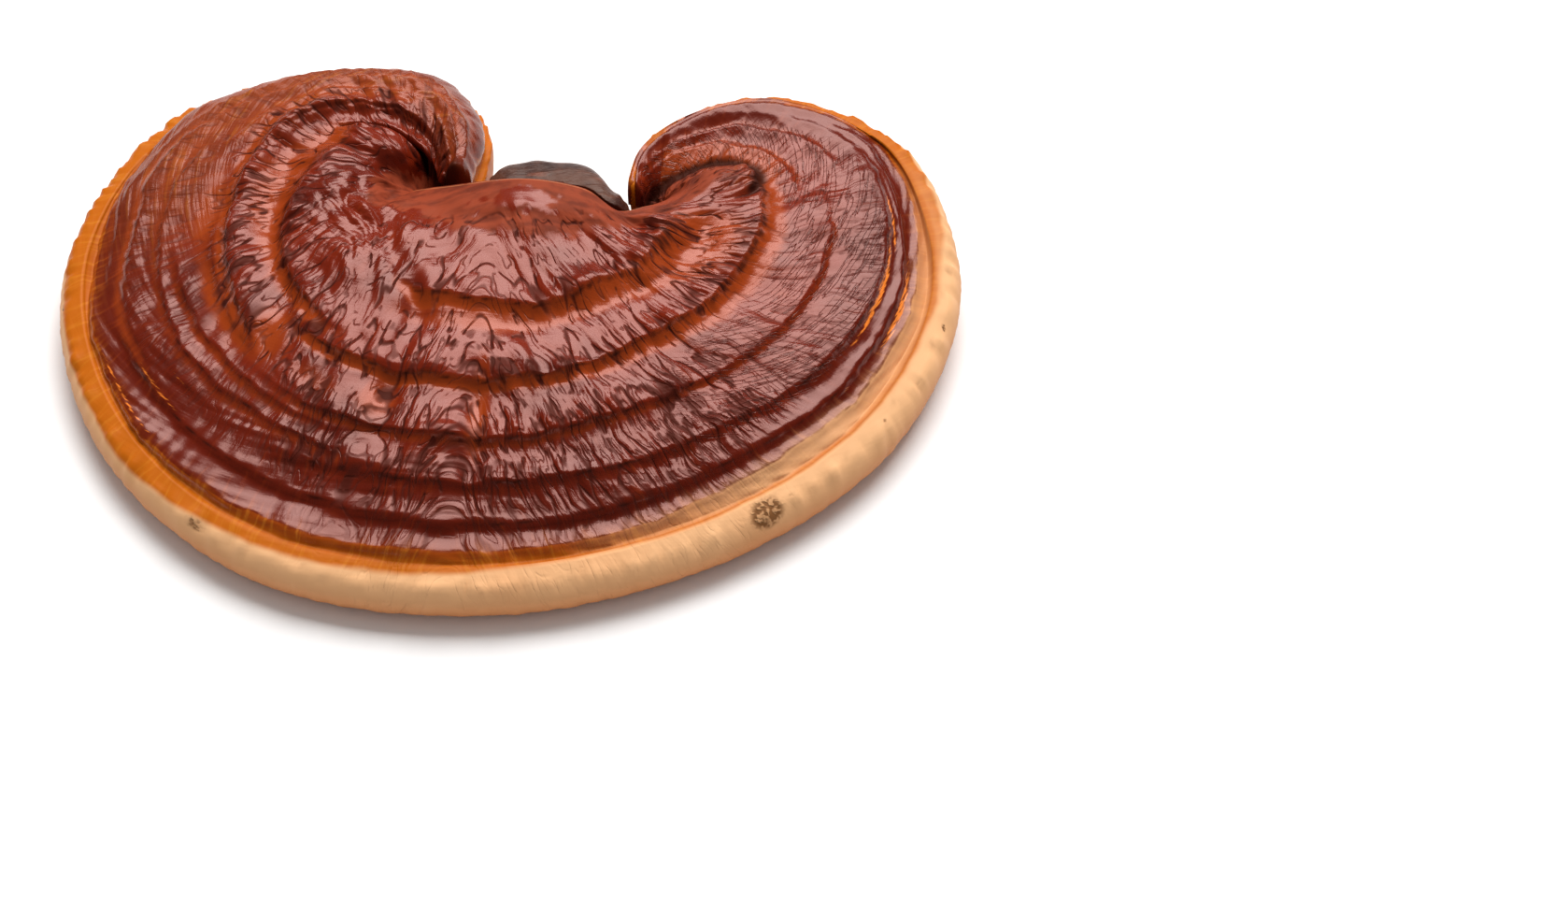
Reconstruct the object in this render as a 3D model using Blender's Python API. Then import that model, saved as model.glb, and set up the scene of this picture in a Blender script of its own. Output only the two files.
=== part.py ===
"""Reishi mushroom, cut from its host and laid on a surface.

A kidney-shaped bracket cap grows round a short side stem. The cap is a slab bent round the
stem: its two back lobes curl in until a narrow slit parts each of them from the neck. The stem
is cut off flat, flush with the cap's flat pore surface, and the two rest on that plane.

Axes: X runs across the cap, -Y is the front margin, +Y the notch and the stem, Z is up. The
origin is under the middle of the whole mushroom, on the plane that it rests on.
"""

import math

import bmesh
import bpy
from mathutils import Matrix, Vector

# Driving dimensions, in metres
RIM_DEPTH = 0.0065          # how far in from the margin the rounded rim reaches
RIM_RISE = 0.0042           # how far the rounded rim rises above the margin line
TIP_ROUND = 0.0030          # rounding of the lobe tips where they meet the neck
LIP_ROUND = 0.0020          # rounding of the cap's upper edge over the stem
GAP = 0.0004                # clearance between the cap and the stem
STEM_LEFT = -0.0043         # left end of the stem, between the two lobe tips
STEM_RIGHT = 0.0242         # right end of the stem
STEM_DEPTH = 0.0105         # how far the stem stands out behind the cap's lip
STEM_FLARE = 0.0020         # how much farther it stands out at the cut
STEM_TOP = 0.0272           # height of the stem's rounded shoulder
STEM_SHOULDER = 0.0090      # radius of the shoulder
STEM_CROWN = 0.50           # width of the shoulder's top, as a part of the stem's width
STEM_LEAN = 0.0045          # how far the shoulder's top lies to the right of the cut's middle

# Mesh density
CAP_COLUMNS = 84            # sections along the cap, from the left slit to the right one
TIP_COLUMNS = 3             # more sections on each rounded lobe tip
RING_STEPS = (0.0, 0.3, 0.6, 0.86)      # rows of the top between one growth ring and the next
RIM_ROWS = 7
UNDER_ROWS = 6
WALL_ROWS = 4
STEM_SIDES = 36
STEM_ROWS = 12

# Growth rings A to C lie in grooves of the top: their place along its rows, and their depth
GROOVES = {0.40: 0.0010, 0.58: 0.0009, 0.74: 0.0006}

# Sections of the cap, from the tip of the left lobe, round the front, to the tip of the right
# lobe. Each section runs from its inner point, on the lip over the stem or on the rim of the
# pit that a lobe curls round, to its outer point on the margin.
# inner x, y | margin x, y | places of growth rings A to D, as fractions of the section |
# heights of the top at the inner point, halfway to A, at A, B, C and D | margin | underside
SECTIONS = {
    "left slit":     ((-0.0158, 0.0288), (-0.0070, 0.0283), (0.12, 0.35, 0.58, 0.80),
                      (0.0120, 0.0165, 0.0200, 0.0235, 0.0230, 0.0195), 0.0125, 0.0070),
    "left tip":      ((-0.0163, 0.0296), (-0.0053, 0.0473), (0.12, 0.35, 0.58, 0.82),
                      (0.0120, 0.0165, 0.0200, 0.0240, 0.0235, 0.0190), 0.0120, 0.0060),
    "left inner":    ((-0.0172, 0.0300), (-0.0166, 0.0668), (0.28, 0.50, 0.68, 0.86),
                      (0.0140, 0.0215, 0.0210, 0.0250, 0.0235, 0.0180), 0.0105, 0.0045),
    "left back":     ((-0.0180, 0.0296), (-0.0388, 0.0710), (0.40, 0.60, 0.76, 0.89),
                      (0.0155, 0.0235, 0.0225, 0.0250, 0.0222, 0.0155), 0.0092, 0.0030),
    "left shoulder": ((-0.0185, 0.0290), (-0.0692, 0.0610), (0.45, 0.63, 0.79, 0.90),
                      (0.0170, 0.0245, 0.0230, 0.0235, 0.0200, 0.0150), 0.0085, 0.0015),
    "left side":     ((-0.0186, 0.0282), (-0.0902, 0.0193), (0.42, 0.65, 0.81, 0.90),
                      (0.0185, 0.0255, 0.0225, 0.0195, 0.0160, 0.0125), 0.0070, 0.0),
    "left front":    ((-0.0182, 0.0274), (-0.0773, -0.0317), (0.48, 0.66, 0.80, 0.90),
                      (0.0205, 0.0260, 0.0228, 0.0190, 0.0155, 0.0115), 0.0055, 0.0),
    "front left":    ((-0.0128, 0.0256), (-0.0448, -0.0627), (0.54, 0.68, 0.79, 0.90),
                      (0.0235, 0.0262, 0.0225, 0.0190, 0.0155, 0.0115), 0.0055, 0.0),
    "front":         ((0.0022, 0.0234), (-0.0008, -0.0709), (0.55, 0.69, 0.79, 0.90),
                      (0.0278, 0.0262, 0.0222, 0.0190, 0.0158, 0.0115), 0.0055, 0.0),
    "front right":   ((0.0147, 0.0208), (0.0445, -0.0574), (0.48, 0.65, 0.78, 0.90),
                      (0.0275, 0.0258, 0.0222, 0.0192, 0.0160, 0.0118), 0.0058, 0.0),
    "right front":   ((0.0207, 0.0160), (0.0777, -0.0277), (0.40, 0.60, 0.77, 0.89),
                      (0.0258, 0.0252, 0.0225, 0.0198, 0.0165, 0.0122), 0.0065, 0.0),
    "right side":    ((0.0264, 0.0186), (0.0903, 0.0168), (0.37, 0.58, 0.77, 0.88),
                      (0.0238, 0.0245, 0.0225, 0.0205, 0.0175, 0.0135), 0.0085, 0.0010),
    "right back":    ((0.0294, 0.0236), (0.0798, 0.0451), (0.36, 0.55, 0.75, 0.88),
                      (0.0195, 0.0240, 0.0210, 0.0205, 0.0195, 0.0175), 0.0135, 0.0045),
    "right top":     ((0.0292, 0.0258), (0.0524, 0.0556), (0.20, 0.48, 0.70, 0.86),
                      (0.0160, 0.0165, 0.0175, 0.0195, 0.0205, 0.0205), 0.0175, 0.0090),
    "right tip":     ((0.0284, 0.0266), (0.0249, 0.0373), (0.12, 0.40, 0.62, 0.82),
                      (0.0140, 0.0140, 0.0150, 0.0180, 0.0195, 0.0200), 0.0170, 0.0090),
    "right slit":    ((0.0274, 0.0263), (0.0234, 0.0273), (0.12, 0.35, 0.58, 0.80),
                      (0.0140, 0.0140, 0.0150, 0.0175, 0.0190, 0.0195), 0.0165, 0.0090),
}
RING_ROWS = (0.0, 0.2, 0.4, 0.58, 0.74, 0.87, 1.0)  # where the heights lie along the top rows


def curve(knots, values, x):
    """A smooth curve through values at knots, which are in rising order, read at x."""
    last = len(knots) - 1
    i = 0
    while i < last - 1 and x > knots[i + 1]:
        i += 1

    def slope(j):
        """The slope at knot j: the weighted mean of the slopes on its two sides."""
        sides = []
        for a, b in ((j - 1, j), (j, j + 1)):
            if a >= 0 and b <= last:
                sides.append(((values[b] - values[a]) / (knots[b] - knots[a]), knots[b] - knots[a]))
        if len(sides) == 1:
            return sides[0][0]
        (s0, w0), (s1, w1) = sides
        return (s0 * w1 + s1 * w0) / (w0 + w1)

    span = knots[i + 1] - knots[i]
    t = (x - knots[i]) / span
    return (values[i] * (1 + 2 * t) * (1 - t) ** 2 + values[i + 1] * t * t * (3 - 2 * t)
            + span * (slope(i) * t * (1 - t) ** 2 - slope(i + 1) * t * t * (1 - t)))


def section_knots():
    """The place of each section along the margin, in metres from the left slit."""
    places = [0.0]
    margins = [Vector(section[1]) for section in SECTIONS.values()]
    for a, b in zip(margins, margins[1:]):
        places.append(places[-1] + (b - a).length)
    return places


KNOTS = section_knots()


class Section:
    """One section of the cap, at a place along the margin."""

    def __init__(self, place):
        rows = list(SECTIONS.values())

        def read(pick):
            return curve(KNOTS, [pick(row) for row in rows], place)

        self.inner = Vector((read(lambda row: row[0][0]), read(lambda row: row[0][1])))
        self.outer = Vector((read(lambda row: row[1][0]), read(lambda row: row[1][1])))
        length = (self.outer - self.inner).length
        self.rim = min(RIM_DEPTH, 0.4 * length) / length
        self.lip = min(LIP_ROUND, 0.2 * length) / length
        self.margin_height = read(lambda row: row[4])
        self.under_height = max(read(lambda row: row[5]), 0.0)
        rings = [read(lambda row, k=k: row[2][k]) for k in range(4)]
        self.places = [self.lip, rings[0] / 2, *rings, 1 - self.rim]
        self.heights = [read(lambda row, k=k: row[3][k]) for k in range(6)]
        self.heights.append(self.margin_height + RIM_RISE)

    def point(self, fraction, height):
        """The point at a fraction of the way from the inner point to the margin."""
        flat = self.inner.lerp(self.outer, fraction)
        return Vector((flat.x, flat.y, height))

    def wall(self, t):
        """The wall over the stem or round a pit, from the underside (t = 0) up to the lip."""
        lip_round = min(LIP_ROUND, 0.3 * self.heights[0])
        if t <= 0.5:
            return self.point(0.0, 2 * t * (self.heights[0] - lip_round))
        angle = (t - 0.5) * math.pi
        return self.point(self.lip * (1 - math.cos(angle)),
                          self.heights[0] - lip_round * (1 - math.sin(angle)))

    def top(self, t):
        """The top, from the lip (t = 0) to the start of the rounded rim (t = 1)."""
        height = curve(RING_ROWS, self.heights, t)
        for ring, depth in GROOVES.items():
            height -= depth * groove(t - ring)
        return self.point(curve(RING_ROWS, self.places, t), height)

    def edge(self, angle):
        """The rounded rim, from its top (90 degrees) to its underside (-90 degrees)."""
        rise = RIM_RISE if angle > 0 else self.margin_height - self.under_height
        return self.point(1 - self.rim * (1 - math.cos(angle)),
                          self.margin_height + rise * math.sin(angle))

    def under(self, fraction):
        """The pore surface: flat round the neck, and rising with the margin towards the rim."""
        share = fraction / (1 - self.rim)
        return self.point(fraction, self.under_height * share ** 2)

    def outline(self):
        """The whole section, up the wall, over the top, round the rim and back underneath."""
        points = [self.wall(i / WALL_ROWS) for i in range(WALL_ROWS)]
        for low, high in zip(RING_ROWS, RING_ROWS[1:]):
            points += [self.top(low + (high - low) * step) for step in RING_STEPS]
        points += [self.edge(math.radians(90 - 180 * i / RIM_ROWS)) for i in range(RIM_ROWS)]
        points += [self.under((1 - self.rim) * (1 - i / UNDER_ROWS)) for i in range(UNDER_ROWS)]
        return points


def groove(t):
    """The shape of a growth groove across the rows: a steep inner side and a long outer one."""
    width = 0.015 if t < 0 else 0.05
    return math.exp(-(t / width) ** 2)


def rounded_tip(points, distance):
    """A section's outline, thinned where it is closer to a lobe's tip than the tip's rounding."""
    if distance >= TIP_ROUND:
        return points
    share = 1 - distance / TIP_ROUND
    thickness = max(math.sqrt(1 - share ** 2), 0.3)
    middle = sum(points, Vector()) / len(points)
    length = 1 - 0.12 * (1 - thickness)
    return [Vector((middle.x + (p.x - middle.x) * length, middle.y + (p.y - middle.y) * length,
                    middle.z + (p.z - middle.z) * thickness)) for p in points]


def column_places():
    """Places of the sections along the margin, closer together on the rounded lobe tips."""
    total = KNOTS[-1]
    tip = [TIP_ROUND * (i / TIP_COLUMNS) ** 2 for i in range(TIP_COLUMNS)]
    step = (total - 2 * TIP_ROUND) / (CAP_COLUMNS - 1)
    middle = [TIP_ROUND + step * i for i in range(CAP_COLUMNS)]
    return tip + middle + [total - place for place in reversed(tip)]


def bent_tube(sections):
    """A mesh through a list of sections, each a closed loop of as many points, with its ends
    closed: a ring sector is spun from a circle and its points are then moved into place."""
    rows = len(sections[0])
    columns = len(sections)
    ring_radius, tube_radius = 2.0, 1.0
    sweep_start, sweep = math.radians(10), math.radians(270)
    mesh = bmesh.new()
    circle = bmesh.ops.create_circle(mesh, segments=rows, radius=tube_radius)["verts"]
    bmesh.ops.rotate(mesh, verts=circle, cent=(0, 0, 0),
                     matrix=Matrix.Rotation(math.radians(90), 3, "X"))
    bmesh.ops.translate(mesh, verts=circle, vec=(ring_radius, 0, 0))
    bmesh.ops.rotate(mesh, verts=circle, cent=(0, 0, 0),
                     matrix=Matrix.Rotation(sweep_start, 3, "Z"))
    bmesh.ops.spin(mesh, geom=circle + mesh.edges[:], cent=(0, 0, 0), axis=(0, 0, 1),
                   angle=sweep, steps=columns - 1)
    for vert in mesh.verts:
        round_ring = max(math.atan2(-vert.co.y, -vert.co.x) + math.pi - sweep_start, 0)
        round_tube = math.atan2(vert.co.z, vert.co.xy.length - ring_radius) % (2 * math.pi)
        column = round(round_ring / sweep * (columns - 1))
        row = round(round_tube / (2 * math.pi) * rows) % rows
        vert.co = sections[column][row]
    ends = [edge for edge in mesh.edges if edge.is_boundary]
    bmesh.ops.holes_fill(mesh, edges=ends, sides=0)
    bmesh.ops.recalc_face_normals(mesh, faces=mesh.faces[:])
    return mesh


def cap_mesh():
    """The cap: its sections in order along the margin."""
    total = KNOTS[-1]
    sections = []
    for place in column_places():
        distance = min(place, total - place)
        sections.append(rounded_tip(Section(place).outline(), distance))
    return bent_tube(sections)


def lip_y(x):
    """Where the cap's lip over the stem lies at x, found by halving the stretch that holds it."""
    names = list(SECTIONS)
    low = KNOTS[names.index("left front")]
    high = KNOTS[names.index("right side")]
    for _ in range(30):
        middle = (low + high) / 2
        if Section(middle).inner.x < x:
            low = middle
        else:
            high = middle
    return Section(low).inner.y


def stem_point(angle, height):
    """A point of the stem at a height: flat along the lip, a half ellipse at the back."""
    shoulder = STEM_TOP - STEM_SHOULDER
    above = max(height - shoulder, 0) / STEM_SHOULDER
    narrowing = math.sqrt(max(1 - above ** 2, 0.02))
    flare = STEM_FLARE * max(1 - height / shoulder, 0)
    half = (STEM_RIGHT - STEM_LEFT) / 2 * (STEM_CROWN + (1 - STEM_CROWN) * narrowing)
    x = (STEM_LEFT + STEM_RIGHT) / 2 + STEM_LEAN * (1 - narrowing) + half * math.cos(angle)
    back = (STEM_DEPTH + flare) * narrowing * max(math.sin(angle), 0) ** 0.8
    return Vector((x, lip_y(x) + GAP + back, height))


def stem_mesh():
    """The stem: a cylinder cut into rows, whose points are moved into place."""
    mesh = bmesh.new()
    bmesh.ops.create_cone(mesh, cap_ends=True, segments=STEM_SIDES, radius1=1, radius2=1,
                          depth=1)
    sides = [edge for edge in mesh.edges if abs(edge.verts[0].co.z - edge.verts[1].co.z) > 0.5]
    bmesh.ops.subdivide_edges(mesh, edges=sides, cuts=STEM_ROWS - 1)
    for vert in mesh.verts:
        angle = math.atan2(vert.co.y, vert.co.x)
        height = STEM_TOP * math.sin((vert.co.z + 0.5) * math.pi / 2)
        vert.co = stem_point(angle, height)
    bmesh.ops.recalc_face_normals(mesh, faces=mesh.faces[:])
    return mesh


def material(name, colour, roughness):
    """A plain Principled material; colour is linear red, green and blue."""
    made = bpy.data.materials.new(name)
    made.use_nodes = True
    shader = made.node_tree.nodes["Principled BSDF"]
    shader.inputs["Base Color"].default_value = (*colour, 1.0)
    shader.inputs["Roughness"].default_value = roughness
    shader.inputs["Metallic"].default_value = 0.0
    return made


def add_piece(name, mesh, finish):
    """An object of that name from a bmesh, shaded smooth, with its material."""
    data = bpy.data.meshes.new(name)
    mesh.to_mesh(data)
    mesh.free()
    data.shade_smooth()
    data.set_sharp_from_angle(angle=math.radians(50))
    data.materials.append(finish)
    piece = bpy.data.objects.new(name, data)
    bpy.context.scene.collection.objects.link(piece)
    return piece


def main():
    for item in list(bpy.data.objects):
        bpy.data.objects.remove(item, do_unlink=True)
    lacquer = material("red-brown lacquered crust", (0.130, 0.022, 0.009), 0.30)
    bark = material("dark brown stem crust", (0.040, 0.018, 0.011), 0.35)
    add_piece("cap", cap_mesh(), lacquer)
    add_piece("stem", stem_mesh(), bark)


main()
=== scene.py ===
"""Reishi mushroom: the finished surfaces of its cap and stem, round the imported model.

The cap is the CAD cap's own shape, made again with many more sections and carrying the relief of
the real crust: the terraces between its growth lines, the folds left of the neck, the radial
wrinkles, the cracks by the left pit and the bumpy rim. Materials give the lacquered crust, the
ochre and cream growing edge and the pore surface. All lengths are in metres unless a name or a
comment says millimetres.
"""

import math

import bmesh
import bpy
import numpy as np
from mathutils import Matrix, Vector


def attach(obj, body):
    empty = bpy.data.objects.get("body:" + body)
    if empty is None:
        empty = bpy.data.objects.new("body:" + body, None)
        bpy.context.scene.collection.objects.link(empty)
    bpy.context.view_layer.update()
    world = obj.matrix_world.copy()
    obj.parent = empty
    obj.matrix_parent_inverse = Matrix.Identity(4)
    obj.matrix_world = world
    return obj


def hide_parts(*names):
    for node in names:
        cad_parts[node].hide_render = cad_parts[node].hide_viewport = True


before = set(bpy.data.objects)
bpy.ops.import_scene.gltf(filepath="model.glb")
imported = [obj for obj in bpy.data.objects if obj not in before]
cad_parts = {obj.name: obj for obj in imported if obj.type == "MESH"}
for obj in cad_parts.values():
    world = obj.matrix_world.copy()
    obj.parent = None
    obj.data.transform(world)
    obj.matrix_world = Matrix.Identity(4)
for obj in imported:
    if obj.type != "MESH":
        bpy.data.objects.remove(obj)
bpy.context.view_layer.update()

bl_info = {
    "name": "Reishi mushroom",
    "version": (1, 0, 0),
    "blender": (4, 5, 0),
    "location": "3D View > Sidebar > Mushroom",
    "description": "Models a lacquered bracket mushroom with its cap, stem and stage",
    "category": "Object",
}

MM = 0.001

# The cap's own shape, as the CAD model has it
RIM_DEPTH = 0.0065
RIM_RISE = 0.0042
TIP_ROUND = 0.0030
LIP_ROUND = 0.0020

# Sections of the cap, from the tip of the left lobe, round the front, to the tip of the right
# lobe: inner x, y | margin x, y | places of growth rings A to D, as fractions of the section |
# heights of the top at the inner point, halfway to A, at A, B, C and D | margin | underside
SECTIONS = {
    "left slit":     ((-0.0158, 0.0288), (-0.0070, 0.0283), (0.12, 0.35, 0.58, 0.80),
                      (0.0120, 0.0165, 0.0200, 0.0235, 0.0230, 0.0195), 0.0125, 0.0070),
    "left tip":      ((-0.0163, 0.0296), (-0.0053, 0.0473), (0.12, 0.35, 0.58, 0.82),
                      (0.0120, 0.0165, 0.0200, 0.0240, 0.0235, 0.0190), 0.0120, 0.0060),
    "left inner":    ((-0.0172, 0.0300), (-0.0166, 0.0668), (0.28, 0.50, 0.68, 0.86),
                      (0.0140, 0.0215, 0.0210, 0.0250, 0.0235, 0.0180), 0.0105, 0.0045),
    "left back":     ((-0.0180, 0.0296), (-0.0388, 0.0710), (0.40, 0.60, 0.76, 0.89),
                      (0.0155, 0.0235, 0.0225, 0.0250, 0.0222, 0.0155), 0.0092, 0.0030),
    "left shoulder": ((-0.0185, 0.0290), (-0.0692, 0.0610), (0.45, 0.63, 0.79, 0.90),
                      (0.0170, 0.0245, 0.0230, 0.0235, 0.0200, 0.0150), 0.0085, 0.0015),
    "left side":     ((-0.0186, 0.0282), (-0.0902, 0.0193), (0.42, 0.65, 0.81, 0.90),
                      (0.0185, 0.0255, 0.0225, 0.0195, 0.0160, 0.0125), 0.0070, 0.0),
    "left front":    ((-0.0182, 0.0274), (-0.0773, -0.0317), (0.48, 0.66, 0.80, 0.90),
                      (0.0205, 0.0260, 0.0228, 0.0190, 0.0155, 0.0115), 0.0055, 0.0),
    "front left":    ((-0.0128, 0.0256), (-0.0448, -0.0627), (0.54, 0.68, 0.79, 0.90),
                      (0.0235, 0.0262, 0.0225, 0.0190, 0.0155, 0.0115), 0.0055, 0.0),
    "front":         ((0.0022, 0.0234), (-0.0008, -0.0709), (0.55, 0.69, 0.79, 0.90),
                      (0.0278, 0.0262, 0.0222, 0.0190, 0.0158, 0.0115), 0.0055, 0.0),
    "front right":   ((0.0147, 0.0208), (0.0445, -0.0574), (0.48, 0.65, 0.78, 0.90),
                      (0.0275, 0.0258, 0.0222, 0.0192, 0.0160, 0.0118), 0.0058, 0.0),
    "right front":   ((0.0207, 0.0160), (0.0777, -0.0277), (0.40, 0.60, 0.77, 0.89),
                      (0.0258, 0.0252, 0.0225, 0.0198, 0.0165, 0.0122), 0.0065, 0.0),
    "right side":    ((0.0264, 0.0186), (0.0903, 0.0168), (0.37, 0.58, 0.77, 0.88),
                      (0.0238, 0.0245, 0.0225, 0.0205, 0.0175, 0.0135), 0.0085, 0.0010),
    "right back":    ((0.0294, 0.0236), (0.0798, 0.0451), (0.36, 0.55, 0.75, 0.88),
                      (0.0195, 0.0240, 0.0210, 0.0205, 0.0195, 0.0175), 0.0135, 0.0045),
    "right top":     ((0.0292, 0.0258), (0.0524, 0.0556), (0.20, 0.48, 0.70, 0.86),
                      (0.0160, 0.0165, 0.0175, 0.0195, 0.0205, 0.0205), 0.0175, 0.0090),
    "right tip":     ((0.0284, 0.0266), (0.0249, 0.0373), (0.12, 0.40, 0.62, 0.82),
                      (0.0140, 0.0140, 0.0150, 0.0180, 0.0195, 0.0200), 0.0170, 0.0090),
    "right slit":    ((0.0274, 0.0263), (0.0234, 0.0273), (0.12, 0.35, 0.58, 0.80),
                      (0.0140, 0.0140, 0.0150, 0.0175, 0.0190, 0.0195), 0.0165, 0.0090),
}
RING_ROWS = (0.0, 0.2, 0.4, 0.58, 0.74, 0.87, 1.0)  # where the heights lie along the top rows

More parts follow.
